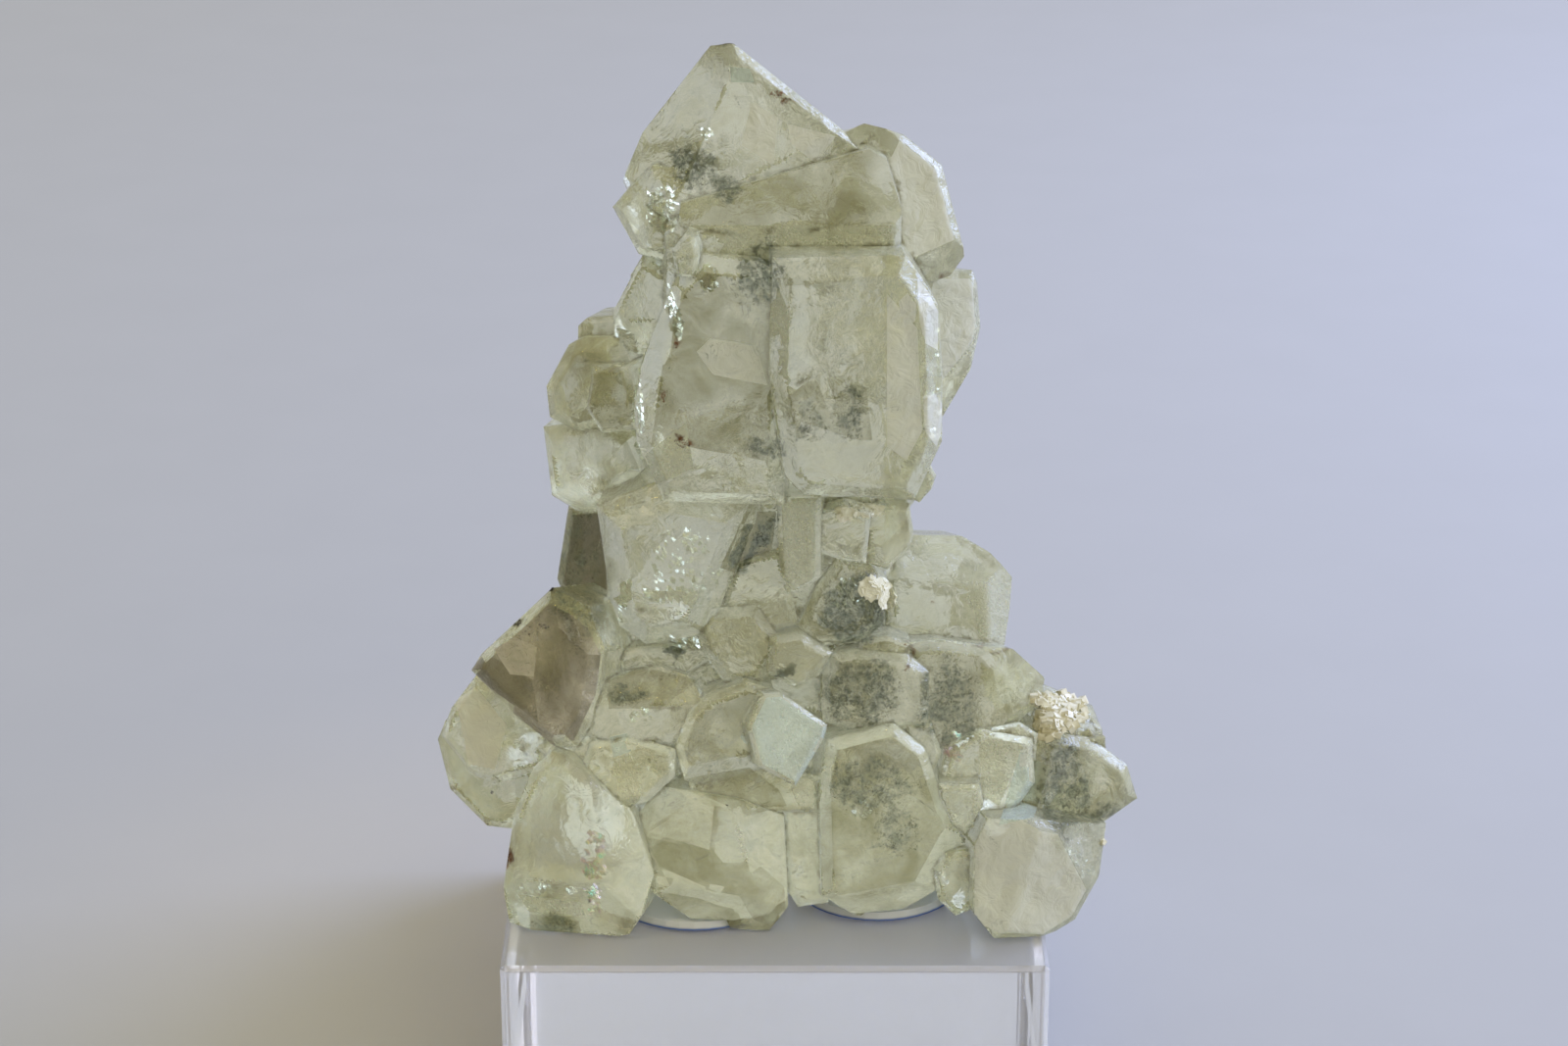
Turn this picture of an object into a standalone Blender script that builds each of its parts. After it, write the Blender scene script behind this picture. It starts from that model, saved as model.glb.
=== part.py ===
"""Fluorite specimen: a cluster of intergrown crystals fixed on a clear acrylic block.

The frame is metres with +Z up. The origin is the centre of the block's underside, the
front of the specimen faces -Y, and the sizes below are written in millimetres.
"""

import math
import random
from dataclasses import dataclass, field
from itertools import product

import bmesh
import bpy
from mathutils import Euler, Matrix, Vector

MM = 0.001                       # one millimetre in scene units
GAP = 0.3                        # clearance kept between pieces that rest on each other

# colours, in linear light
FLUORITE_GREEN = (0.42, 0.43, 0.30)
ACRYLIC_CLEAR = (0.80, 0.82, 0.86)
GEL_BLUE = (0.62, 0.70, 0.85)

# display block
BLOCK_SIDE = 60.0
BLOCK_HEIGHT = 20.0
BLOCK_BEVEL = 0.5

# mounting gel, two thin discs that bed the cluster on the block
PAD_THICKNESS = 0.9
PAD_SEGMENTS = 40
PADS = {                         # name: centre x, centre y, radius
    "gel_pad_left": (-9.0, -12.0, 10.3),
    "gel_pad_right": (11.5, -10.5, 9.6),
}

# sloping faces round a crystal's back rim, against those round its front
BACK_BEVEL_RATIO = 2.2
BACK_BEVEL_MOST = 2.8
RIM_TOLERANCE = 0.001

# where the cluster meets the block and the gel
FOOT_LEVEL = BLOCK_HEIGHT + GAP
HOLLOW_LEVEL = FOOT_LEVEL + PAD_THICKNESS + GAP
HOLLOW_MARGIN = 0.5              # how far a hollow reaches past the rim of its pad
TRIM_REACH = 120.0

# crust of tiny cubes on the right shoulder of the foot, from its inner to its outer end
DRUSE_SEED = 12
DRUSE_COUNT = 18
DRUSE_START = (28.5, -9.0, 42.3)
DRUSE_END = (35.5, -9.0, 38.2)
DRUSE_SIDES = (1.2, 2.2)
DRUSE_BEVEL = 0.1                # as a share of a cube's side
DRUSE_SPREAD_X = 0.8             # how far a tiny cube strays from the line
DRUSE_SPREAD_Y = (-2.5, 2.0)
DRUSE_SPREAD_Z = (-0.9, 0.2)

# small cubes that close the gaps of the back: half a ring of them at each level
INFILL_SEED = 4
INFILL_SIDES = (5.0, 8.5)
INFILL_SINK = 0.3                # how deep a cube sinks in, as a share of its least side
INFILL_SCATTER = 3.0             # how far a cube strays from its level
INFILL_DRIFT = (0.2, 0.8)        # where a cube sits in its share of the half ring
INFILL_BEVEL = 0.6
QUARTER_TURN = 90.0              # a cube looks the same after one, in degrees
COLUMN_AXIS_Y = 2.0
INFILL_RINGS = {                 # level: half width, reach to the back, count
    30.0: (26.0, 22.0, 6),
    41.0: (19.0, 19.0, 6),
    53.0: (13.0, 17.0, 5),
    65.0: (12.0, 16.0, 5),
    77.0: (12.0, 15.0, 4),
    90.0: (11.0, 12.0, 4),
}

# the corners that growth left cut off on the cubes
CORNER_SEED = 7
CORNER_CHANCE = 0.3
CORNER_SHARES = (0.62, 0.78)     # distance of the cut from the middle to the corner


@dataclass
class Facet:
    """A flat face cut across a crystal's front: it starts on the line through (u, v)
    that is square to heading, and slopes back by tilt degrees."""
    u: float
    v: float
    heading: float
    tilt: float


@dataclass
class Crystal:
    """A flat-faced crystal: an outline on its front face, drawn from at, and its depth.

    turn swings the front face towards +X and lean tips it up, in degrees. bevel is the
    width of the sloping faces around the front and back rims.
    """
    name: str
    at: tuple
    turn: float
    lean: float
    outline: list
    depth: float
    bevel: float = 0.9
    facets: list = field(default_factory=list)


@dataclass
class Cube:
    """A cube-shaped crystal with its edges cut off: centre, size and turns in degrees."""
    name: str
    at: tuple
    size: tuple
    turns: tuple
    bevel: float = 1.0


# The crown and the column under it, from the top down.
UPPER_CRYSTALS = [
    Crystal("crown", (-3, -3, 106.5), 4, 22,
            [(-11, 0.5), (-13, -4), (-11.5, -7), (-8, -9.5), (3.5, -8), (13, -3.5),
             (10.5, 0), (-1, 9.5), (-3.5, 9.5)], 17, 1.0,
            [Facet(-2.5, 4, 155, 38), Facet(5, -2.5, -65, 22)]),
    Crystal("cheek", (-13, -5, 97.5), -15, 5,
            [(-2, -4.5), (1.5, -5), (5, 0), (4, 5), (-0.5, 5.5), (-3, 3), (-5, 0.5)], 14, 1.2),
    Crystal("tooth", (-9.5, -12, 95.5), -10, 0,
            [(-1, -2.5), (1, -2.5), (1.5, 0), (1, 2), (0, 2.5), (-1.5, 0.5)], 10, 0.5),
    Crystal("brow", (1.5, -9, 98.5), 0, 5,
            [(-12, -2), (-11, -7), (12, -7), (12, 1), (10.5, 5.5), (8.5, 6.5), (-11.5, 1.5)],
            20, 0.8, [Facet(0, -0.5, 90, 40)]),
    Crystal("shoulder", (14, -3, 99), 10, 22,
            [(-3.5, 1), (-1, -7), (3, -9), (5, -8.5), (6.5, -6.5), (4.5, 3.5), (0.5, 7),
             (-3.5, 8.5), (-6, 7.5)], 18, 1.0,
            [Facet(-1.5, 4, 150, 30), Facet(3, -5.5, -70, 40)]),
    Crystal("flag", (19.5, 3, 80), 18, 15,
            [(-3.5, 4), (-3.5, -8), (-1, -8), (2.5, -3), (4, 1.5), (4, 6.5), (3.5, 8), (-2, 8.5)],
            10, 0.9, [Facet(1, -1.5, -45, 25)]),
    Crystal("slab_right", (9, -17, 83.5), 4, 6,
            [(-9.5, 0.5), (-8, -11), (-6, -13), (6, -14), (9, -7.5), (9, 0), (8.5, 7.5),
             (6.5, 11), (5, 13), (-9, 13)], 17, 1.8),
    Crystal("slab_left", (-7, -13.5, 82), -5, 6,
            [(-1, 13.5), (-4, 10.5), (-7.5, 1.5), (-8.5, -3.5), (-8, -7.5), (-5, -14),
             (8, -14), (8.5, 10), (5, 13)], 17, 1.6, [Facet(-5.5, -2, 172, 45)]),
    Crystal("slab_lower", (-11, -13, 60), -6, 5,
            [(-7.5, -5), (-6.5, -8), (-3.5, -10), (3.5, -8.5), (8.5, 4.5), (9, 8), (-1, 9.5),
             (-9, 6)], 17, 3.0),
    Crystal("wedge", (-14, -4, 86.5), -25, 5,
            [(-1, 6), (-4.5, -1), (-4, -5.5), (2.5, -5.5), (5, -0.5), (3.5, 4)], 14, 0.8,
            [Facet(0, -1, -80, 25)]),
    Crystal("knob", (-19, 0, 82), -15, 10,
            [(-1.5, -2.5), (3, -2), (3.5, 1), (1, 2.5), (-2, 2), (-3, 1), (-3, -0.5)], 9, 0.6),
    Crystal("ear_upper", (-20.5, -3, 77), -18, 8,
            [(-5, -4), (-1, -5.5), (4.5, -3), (5, 2), (3, 6), (-1.5, 5.5), (-3, 4.5),
             (-5.5, -0.5)], 12, 1.5),
    Crystal("ear_lower", (-20.5, -3, 67.5), -18, 3,
            [(-5, -4), (-2, -5.5), (0, -5.5), (5.5, 0), (5, 4.5), (0, 5.5), (-6, 4)], 13, 1.2),
    Crystal("back_left", (-20.5, 1, 52.5), -18, 3,
            [(-5, -1), (-2, -8), (1.5, -9.5), (4.5, -5), (4, 10), (-3.5, 8.5)], 14, 1.2),
    Crystal("needle", (2.5, -13, 62.5), -5, 5,
            [(-2, -3.5), (-0.5, -5.5), (1.5, -4.5), (2.5, -3.5), (2.5, 6), (-2.5, 5.5)], 8, 0.6),
    Crystal("chip_left", (7, -12, 63.5), 0, 5,
            [(-2.5, -2), (0, -3), (3, -3.5), (3.5, 2), (0.5, 3), (-3, 2)], 8, 0.6),
    Crystal("chip_right", (12.5, -9, 62), 10, 5,
            [(-2.5, -3), (0, -4), (2.5, -1.5), (3, 0), (2.5, 3.5), (-3, 3.5)], 10, 0.6),
    Crystal("dark_nest", (7.5, -10.5, 54.5), 0, 10,
            [(-4, -5), (2, -4.5), (4.5, -2.5), (5, 2), (2.5, 5), (-0.5, 5.5), (-3, 2),
             (-5, -2.5)], 12, 1.0),
    Crystal("hollow", (-1.5, -10, 56), 0, 10,
            [(-4, -4.5), (0.5, -5), (4, -4), (2.5, 5), (-3, 3.5), (-4.5, -1)], 10, 0.8),
    Crystal("saucer", (-4, -12.5, 50.5), 0, 15,
            [(-4, -1), (-1.5, -4.5), (2.5, -4.5), (5, 0), (2, 4.5), (-3.5, 4), (-5, 2)], 10, 1.2),
    Crystal("throat", (2.5, -14, 49), 5, 15,
            [(-3.5, -1), (0, -3), (2.5, -1.5), (4, 1), (0.5, 3.5), (-3, 3)], 10, 0.8),
    Crystal("heel", (16, -8, 68), 20, 0,
            [(-1.5, -1.5), (0, -2.5), (1.5, -1), (2, 0.5), (1, 2.5), (-1, 3)], 9, 0.4),
    Crystal("collar", (-2, -8, 61.5), 0, 10,
            [(-3, -4), (3, -1), (3, 3.5), (-3.5, 3.5)], 8, 0.6),
    Crystal("left_gap", (-18, -6, 77), -20, 10,
            [(-3, -1.5), (-1, -4), (3.5, -3), (2, 4), (-2.5, 3.5)], 9, 0.7),
]

# The wide foot of the cluster, from left to right and back to front.
LOWER_CRYSTALS = [
    Crystal("dark_block", (-26.5, -14, 48.5), -20, 20,
            [(-2.5, -5.5), (3, -8.5), (5.5, -8), (7, -5), (7.5, 3), (5, 7.5), (0.5, 9),
             (-3, 5), (-7, 0.5), (-8, -1.5)], 16, 1.4),
    Crystal("left_lobe", (-31.5, -8, 38), -25, 10,
            [(-6.5, 1), (-7.5, -2.5), (-3, -6.5), (0.5, -6.5), (7, -3.5), (7, 1.5), (1, 5.5),
             (-3.5, 5.5)], 14, 1.2, [Facet(2, 2, 45, 20)]),
    Crystal("left_foot", (-34, -3, 29.5), -15, 5,
            [(-4, -2.5), (0.5, -6.5), (3.5, -6.5), (6, -4.5), (5.5, 3), (-4.5, 6),
             (-5.5, 3.5)], 14, 1.4),
    Crystal("front_left", (-22, -23, 31), -8, 15,
            [(-8, -5), (-7.5, -9.5), (-4.5, -10.5), (2, -11), (6, -10), (7.5, -7.5), (8.5, -3),
             (6, 4), (-1, 10), (-3, 10.5), (-5, 8.5), (-7, 3.5)], 20, 1.0,
            [Facet(2.5, 0, 10, 28), Facet(-1, -4, -90, 24)]),
    Crystal("front_mid", (-7.5, -22, 28.5), 0, 15,
            [(-6, -3.5), (-1.5, -7), (6.5, -8.5), (9, -5), (8.5, 5), (4, 7), (-5, 8.5),
             (-8.5, 4)], 18, 1.0,
            [Facet(0, -3, -100, 26), Facet(-3, 1, 165, 24), Facet(4, 2, 15, 20)]),
    Crystal("front_right", (13, -20, 32.5), 6, 15,
            [(-8, -8), (-4, -11), (0, -11.5), (6, -7.5), (8.5, -3.5), (6, 1.5), (4, 8),
             (0.5, 11), (-7, 9.5), (-8, 4.5)], 20, 1.2,
            [Facet(0, -7, -82, 40), Facet(5, -2, -30, 30)]),
    Crystal("foot_right", (30, -23, 26.5), 14, 8,
            [(-8, -3), (-6, -6), (-0.5, -7), (3.5, -5), (6.5, 0), (8, 5), (-1, 7.5),
             (-6, 7.5), (-7.5, 4.5)], 18, 1.1,
            [Facet(-3, 0, 160, 25), Facet(3, 2, 25, 30)]),
    Crystal("right_lobe", (33, -15, 34), 14, 18,
            [(-6.5, 4), (-8.5, -3), (-4, -6), (2.5, -5), (8, -2), (7, 2), (3, 5.5),
             (-1, 6.5), (-4, 6)], 17, 1.2,
            [Facet(-3.5, 0, 165, 35), Facet(4, 3, 45, 30)]),
    Crystal("stair", (23.5, -17, 36), 8, 20,
            [(-4.5, 4), (-5.5, -1), (-3, -5.5), (1, -6), (5.5, -0.5), (5.5, 4.5), (-0.5, 6)],
            12, 0.8),
    Crystal("knee", (22.5, -12, 43.5), 8, 20,
            [(-7, -4), (-4.5, -6), (1, -5.5), (7, -1), (8, 2), (4.5, 5.5), (-3.5, 7),
             (-8, 7)], 16, 1.2, [Facet(3, 2, 40, 20)]),
    Crystal("grey_mid", (11, -14.5, 46), 0, 15,
            [(-6, -3.5), (-3.5, -4.5), (6, -4.5), (6, 2), (3.5, 4), (-2, 4.5), (-4.5, 4),
             (-6, 1.5)], 14, 1.0),
    Crystal("right_mid", (20, 0, 51), 8, 20,
            [(-7.5, -5), (-1.5, -7), (6, -6.5), (7, -2), (7.5, 1.5), (5, 4.5), (2, 6.5),
             (-4, 7), (-7.5, 2.5)], 17, 1.0, [Facet(0, 1.5, 80, 30), Facet(4, -2, 0, 35)]),
    Crystal("pebble", (20, -21, 25.5), 0, 10,
            [(-2, -2), (0, -4), (2.5, -3), (2, 4), (-1, 3.5), (-2.5, 1.5)], 10, 0.6),
    Crystal("nook_left", (-16, -19, 38.5), -5, 25,
            [(-5.5, -2), (-2, -4.5), (2, -3.5), (5, -0.5), (5, 2.5), (-0.5, 4), (-4.5, 3),
             (-5.5, 0)], 12, 0.8),
    Crystal("roof", (-14, -16, 44.5), 0, 20,
            [(-7, -3), (-3.5, -4.5), (4, -4), (7, 0), (4.5, 3.5), (1.5, 4.5), (-2, 4),
             (-6, 2.5)], 14, 0.8, [Facet(0, 0.5, 90, 30)]),
    Crystal("middle", (-5.5, -18, 41), 3, 15,
            [(-4.5, -4), (2, -7), (5, -3.5), (5.5, 6), (2.5, 7), (-2, 5.5), (-4, 3.5),
             (-5.5, 0)], 14, 0.9, [Facet(0, -1.5, -80, 30)]),
    Crystal("window", (1.5, -21, 43.5), 10, 20,
            [(-3.5, -3), (0.5, -5.5), (3, -2), (4, -0.5), (4.5, 1), (-0.5, 5), (-2.5, 5),
             (-4.5, 1.5)], 12, 0.5),
    Crystal("ledge", (-2.5, -18, 36), 0, 20,
            [(-6.5, -1.5), (-1.5, -3), (7.5, -3), (7.5, 1), (0.5, 3), (-7.5, 1.5)], 12, 0.7),
    Crystal("gusset", (3, -19, 29.5), 0, 15,
            [(-2, -5), (-0.5, -7.5), (3, -7), (2.5, 7), (-2.5, 5)], 12, 0.8),
    Crystal("sill", (-12.5, -10, 47.5), 0, 10,
            [(-4, -2), (2.5, -2), (5.5, 0), (5, 2), (-3, 1.5), (-5.5, 0.5)], 9, 0.6),
    Crystal("pale_chip", (12, -12.5, 49), 0, 15,
            [(0.5, -2.5), (2.5, -2), (3, 1.5), (0.5, 2.5), (-2.5, 2), (-3, 0.5)], 9, 0.5),
    Crystal("left_wedge", (-23, -17, 39), -5, 20,
            [(-2, -0.5), (1.5, -2.5), (2.5, -1), (3, 2.5), (-0.5, 2.5), (-3.5, 1)], 10, 0.5),
    Crystal("brown_wedge", (20.5, -20, 34), 0, 5,
            [(-2.5, 1.5), (-1, -2), (0.5, -3), (2.5, 0.5), (2, 3), (-2.5, 3)], 9, 0.4),
    Crystal("step_high", (26, -15, 38.5), 10, 25,
            [(-3.5, -1.5), (-1.5, -3.5), (3, -1), (3.5, 2), (1.5, 3.5), (-3, 3)], 9, 0.5),
    Crystal("mid_right", (16.5, -16, 39), 5, 15,
            [(-1, -2.5), (0.5, -3.5), (2, 0), (1, 3.5), (-2, 3.5)], 9, 0.5),
]

# The mass that the crystals grow from.
CORE_CUBES = [
    Cube("core_column", (-1, 3, 68), (24, 23, 62), (0, 0, 8), 2.0),
    Cube("core_foot", (0, 4, 33), (46, 30, 24), (0, 0, 0), 3.0),
    Cube("core_waist", (-3, 4.5, 52), (30, 24, 24), (0, 0, -6), 2.5),
]

# Crystals of the sides and the back.
BACK_CUBES = [
    Cube("back_crown", (-3, 8, 96), (15, 12, 13), (15, -20, 12), 1.2),
    Cube("back_slab", (-3, 13, 78), (19, 12, 22), (-8, 4, 12), 1.6),
    Cube("back_cheek", (9, 10, 86), (12, 13, 13), (15, 20, 40), 1.2),
    Cube("back_ear", (-12, 9, 69), (12, 13, 14), (-15, 25, 30), 1.2),
    Cube("back_plate", (7, 14, 62), (17, 12, 18), (10, -15, -10), 1.4),
    Cube("side_left_high", (-8, 5, 86), (12, 14, 13), (25, 10, -20), 1.1),
    Cube("side_left_low", (-15, 12, 43), (14, 14, 15), (20, -15, 35), 1.3),
    Cube("side_right_low", (16, 12, 40), (14, 15, 15), (-15, 20, 25), 1.4),
    Cube("back_foot_left", (-16, 19, 30), (19, 15, 16), (-20, 8, 15), 1.5),
    Cube("back_foot_mid", (1, 21, 31), (18, 14, 18), (25, 12, -12), 1.5),
    Cube("back_foot_right", (18, 18, 29), (17, 16, 15), (-15, -20, 10), 1.4),
    Cube("back_waist", (-5, 16, 50), (17, 13, 17), (12, 25, 8), 1.4),
    Cube("back_hip", (8, 17, 46), (12, 12, 13), (-25, 15, 30), 1.1),
    Cube("left_hip", (-25, 7, 32), (14, 16, 13), (15, 20, 15), 1.3),
    Cube("right_hip", (26, 6, 29.5), (14, 17, 12), (-10, 25, -20), 1.3),
    Cube("back_tooth", (-10, 13, 58), (8, 9, 10), (35, 15, 20), 0.8),
    Cube("side_spur", (9, 8, 70), (11, 12, 13), (20, -20, 35), 1.0),
    Cube("druse_bed", (31.5, -7, 36.5), (9, 9, 8), (10, 30, 15), 0.8),
]


def clear_scene():
    """Remove whatever the scene holds."""
    for item in list(bpy.data.objects):
        bpy.data.objects.remove(item, do_unlink=True)


def new_collection(name):
    """Make a collection in the scene."""
    collection = bpy.data.collections.new(name)
    bpy.context.scene.collection.children.link(collection)
    return collection


def add_object(name, bm, collection):
    """Turn a bmesh, in millimetres, into an object in metres."""
    bmesh.ops.scale(bm, vec=(MM, MM, MM), verts=bm.verts)
    bmesh.ops.recalc_face_normals(bm, faces=bm.faces)
    mesh = bpy.data.meshes.new(name)
    bm.to_mesh(mesh)
    bm.free()
    piece = bpy.data.objects.new(name, mesh)
    collection.objects.link(piece)
    return piece


def make_guide(piece):
    """Mark an object as a tool for a Boolean, which isn't part of the model."""
    piece.hide_render = True
    piece.display_type = 'WIRE'
    return piece


def principled(name, colour, roughness, ior, transmission):
    """Make a Principled BSDF material."""
    material = bpy.data.materials.new(name)
    material.use_nodes = True
    shader = material.node_tree.nodes["Principled BSDF"]
    shader.inputs["Base Color"].default_value = (*colour, 1.0)
    shader.inputs["Roughness"].default_value = roughness
    shader.inputs["Metallic"].default_value = 0.0
    shader.inputs["IOR"].default_value = ior
    shader.inputs["Transmission Weight"].default_value = transmission
    return material


def cut_flat(bm, point, normal):
    """Cut away what lies beyond a plane, and close the crystal with a flat face."""
    geometry = bm.verts[:] + bm.edges[:] + bm.faces[:]
    cut = bmesh.ops.bisect_plane(bm, geom=geometry, plane_co=point, plane_no=normal,
                                 clear_outer=True)
    rim = [item for item in cut["geom_cut"] if isinstance(item, bmesh.types.BMEdge)]
    if rim:
        bmesh.ops.holes_fill(bm, edges=rim, sides=0)


def face_frame(at, turn, lean):
    """Place a crystal's own axes: u across the front face, v up it and w out of it."""
    across = Matrix.Rotation(math.radians(turn), 4, 'Z')
    tip = Matrix.Rotation(math.radians(90.0 - lean), 4, 'X')
    return Matrix.Translation(at) @ across @ tip


def bevel_rim(bm, level, width):
    """Slope the rim of a prism's end that lies at w = level."""
    rim = [edge for edge in bm.edges
           if all(abs(corner.co.z - level) < RIM_TOLERANCE for corner in edge.verts)]
    bmesh.ops.bevel(bm, geom=rim, offset=width, offset_type='OFFSET', segments=1,
                    profile=0.5, affect='EDGES', material=-1, clamp_overlap=True)


def build_crystal(crystal, collection):
    """Extrude a crystal's outline, slope its rims and cut its facets."""
    bm = bmesh.new()
    corners = [bm.verts.new((u, v, 0.0)) for u, v in crystal.outline]
    front = bm.faces.new(corners)
    grown = bmesh.ops.extrude_face_region(bm, geom=[front], use_keep_orig=True)
    moved = [item for item in grown["geom"] if isinstance(item, bmesh.types.BMVert)]
    bmesh.ops.translate(bm, verts=moved, vec=(0.0, 0.0, -crystal.depth))
    bmesh.ops.recalc_face_normals(bm, faces=bm.faces)
    bevel_rim(bm, 0.0, crystal.bevel)
    bevel_rim(bm, -crystal.depth, min(crystal.bevel * BACK_BEVEL_RATIO, BACK_BEVEL_MOST))
    for facet in crystal.facets:
        heading = math.radians(facet.heading)
        tilt = math.radians(facet.tilt)
        normal = (math.sin(tilt) * math.cos(heading), math.sin(tilt) * math.sin(heading),
                  math.cos(tilt))
        cut_flat(bm, (facet.u, facet.v, 0.0), normal)
    bmesh.ops.transform(bm, matrix=face_frame(crystal.at, crystal.turn, crystal.lean),
                        verts=bm.verts)
    return make_guide(add_object(crystal.name, bm, collection))


def build_cube(cube, collection, generator=None):
    """Make a cube-shaped crystal with its edges sloped, and some corners cut off."""
    bm = bmesh.new()
    bmesh.ops.create_cube(bm, size=1.0)
    bmesh.ops.scale(bm, vec=cube.size, verts=bm.verts)
    bmesh.ops.bevel(bm, geom=bm.edges[:], offset=cube.bevel, offset_type='OFFSET',
                    segments=1, profile=0.5, affect='EDGES', material=-1)
    if generator:
        for signs in product((-1, 1), repeat=3):
            if generator.random() < CORNER_CHANCE:
                corner = Vector([sign * side / 2 for sign, side in zip(signs, cube.size)])
                cut_flat(bm, corner * generator.uniform(*CORNER_SHARES), corner)
    turns = Euler([math.radians(angle) for angle in cube.turns]).to_matrix().to_4x4()
    bmesh.ops.transform(bm, matrix=Matrix.Translation(cube.at) @ turns, verts=bm.verts)
    return make_guide(add_object(cube.name, bm, collection))


def druse_cubes():
    """Scatter the tiny cubes that crust the right shoulder of the foot."""
    generator = random.Random(DRUSE_SEED)
    start, end = Vector(DRUSE_START), Vector(DRUSE_END)
    cubes = []
    for number in range(DRUSE_COUNT):
        place = start.lerp(end, number / (DRUSE_COUNT - 1))
        place += Vector((generator.uniform(-DRUSE_SPREAD_X, DRUSE_SPREAD_X),
                         generator.uniform(*DRUSE_SPREAD_Y),
                         generator.uniform(*DRUSE_SPREAD_Z)))
        side = generator.uniform(*DRUSE_SIDES)
        turns = [generator.uniform(0.0, QUARTER_TURN) for axis in range(3)]
        cubes.append(Cube(f"druse_{number + 1}", place, (side, side, side), turns,
                          side * DRUSE_BEVEL))
    return cubes


def infill_cubes():
    """Set small cubes round the back of the column and the foot, in half rings."""
    generator = random.Random(INFILL_SEED)
    cubes = []
    for level, (half_width, reach, count) in INFILL_RINGS.items():
        for number in range(count):
            angle = math.pi * (number + generator.uniform(*INFILL_DRIFT)) / count
            size = [generator.uniform(*INFILL_SIDES) for axis in range(3)]
            inward = min(size) * INFILL_SINK
            place = (math.cos(angle) * (half_width - inward),
                     COLUMN_AXIS_Y + math.sin(angle) * (reach - inward),
                     level + generator.uniform(-INFILL_SCATTER, INFILL_SCATTER))
            turns = [generator.uniform(0.0, QUARTER_TURN) for axis in range(3)]
            cubes.append(Cube(f"infill_{len(cubes) + 1}", place, size, turns, INFILL_BEVEL))
    return cubes


def disc(name, x, y, radii, bottom, height, collection):
    """Make an upright disc from its bottom and top radius."""
    bm = bmesh.new()
    bmesh.ops.create_cone(bm, cap_ends=True, segments=PAD_SEGMENTS, radius1=radii[0],
                          radius2=radii[1], depth=height)
    bmesh.ops.translate(bm, verts=bm.verts, vec=(x, y, bottom + height / 2))
    return add_object(name, bm, collection)


def underside_tools(collection):
    """Make what trims the cluster's underside: a box below it, and a hollow over each pad."""
    bm = bmesh.new()
    bmesh.ops.create_cube(bm, size=1.0)
    bmesh.ops.scale(bm, vec=(TRIM_REACH, TRIM_REACH, FOOT_LEVEL), verts=bm.verts)
    bmesh.ops.translate(bm, verts=bm.verts, vec=(0.0, 0.0, FOOT_LEVEL / 2))
    tools = [make_guide(add_object("trim_below", bm, collection))]
    for name, (x, y, radius) in PADS.items():
        wide = radius + HOLLOW_MARGIN
        tool = disc(f"hollow_{name}", x, y, (wide, wide), BLOCK_HEIGHT,
                    HOLLOW_LEVEL - BLOCK_HEIGHT, collection)
        tools.append(make_guide(tool))
    return tools


def add_boolean(piece, operation, tool):
    """Add an exact Boolean modifier."""
    modifier = piece.modifiers.new(f"{operation.lower()}_{tool.name}", 'BOOLEAN')
    modifier.operation = operation
    modifier.solver = 'EXACT'
    modifier.object = tool


def build_cluster(parts, tools):
    """Grow every crystal into one solid and trim its underside."""
    grown = [build_crystal(crystal, tools) for crystal in UPPER_CRYSTALS + LOWER_CRYSTALS]
    corners = random.Random(CORNER_SEED)
    grown += [build_cube(cube, tools, corners) for cube in BACK_CUBES + infill_cubes()]
    grown += [build_cube(cube, tools) for cube in CORE_CUBES[1:] + druse_cubes()]
    cluster = build_cube(CORE_CUBES[0], parts)
    cluster.name = "crystal_cluster"
    cluster.hide_render = False
    cluster.display_type = 'TEXTURED'
    for crystal in grown:
        add_boolean(cluster, 'UNION', crystal)
    for tool in underside_tools(tools):
        add_boolean(cluster, 'DIFFERENCE', tool)
    cluster.data.materials.append(
        principled("fluorite", FLUORITE_GREEN, 0.12, 1.434, 0.85))
    return cluster


def build_block(parts):
    """Make the clear block with its polished edges."""
    bm = bmesh.new()
    bmesh.ops.create_cube(bm, size=1.0)
    bmesh.ops.scale(bm, vec=(BLOCK_SIDE, BLOCK_SIDE, BLOCK_HEIGHT), verts=bm.verts)
    bmesh.ops.translate(bm, verts=bm.verts, vec=(0.0, 0.0, BLOCK_HEIGHT / 2))
    bmesh.ops.bevel(bm, geom=bm.edges[:], offset=BLOCK_BEVEL, offset_type='OFFSET',
                    segments=1, profile=0.5, affect='EDGES', material=-1)
    block = add_object("display_block", bm, parts)
    block.data.materials.append(
        principled("clear_acrylic", ACRYLIC_CLEAR, 0.04, 1.49, 0.95))
    return block


def build_pads(parts):
    """Make the discs of mounting gel."""
    gel = principled("mounting_gel", GEL_BLUE, 0.15, 1.41, 0.9)
    for name, (x, y, radius) in PADS.items():
        pad = disc(name, x, y, (radius, radius - GAP), FOOT_LEVEL, PAD_THICKNESS, parts)
        pad.data.materials.append(gel)


def main():
    """Build the specimen."""
    clear_scene()
    parts = new_collection("fluorite_specimen")
    tools = new_collection("cutters")
    build_block(parts)
    build_pads(parts)
    build_cluster(parts, tools)


if __name__ == "__main__":
    main()
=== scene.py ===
"""Looks of the fluorite specimen: etched crystals with cloudy hearts on a clear acrylic block."""
import logging
import math
import random
from dataclasses import dataclass
from enum import Enum
from typing import ClassVar, Iterable

import bmesh
import bpy
import numpy as np
from mathutils import Euler, Matrix, Vector, noise
from mathutils.bvhtree import BVHTree
from mathutils.kdtree import KDTree


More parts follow.
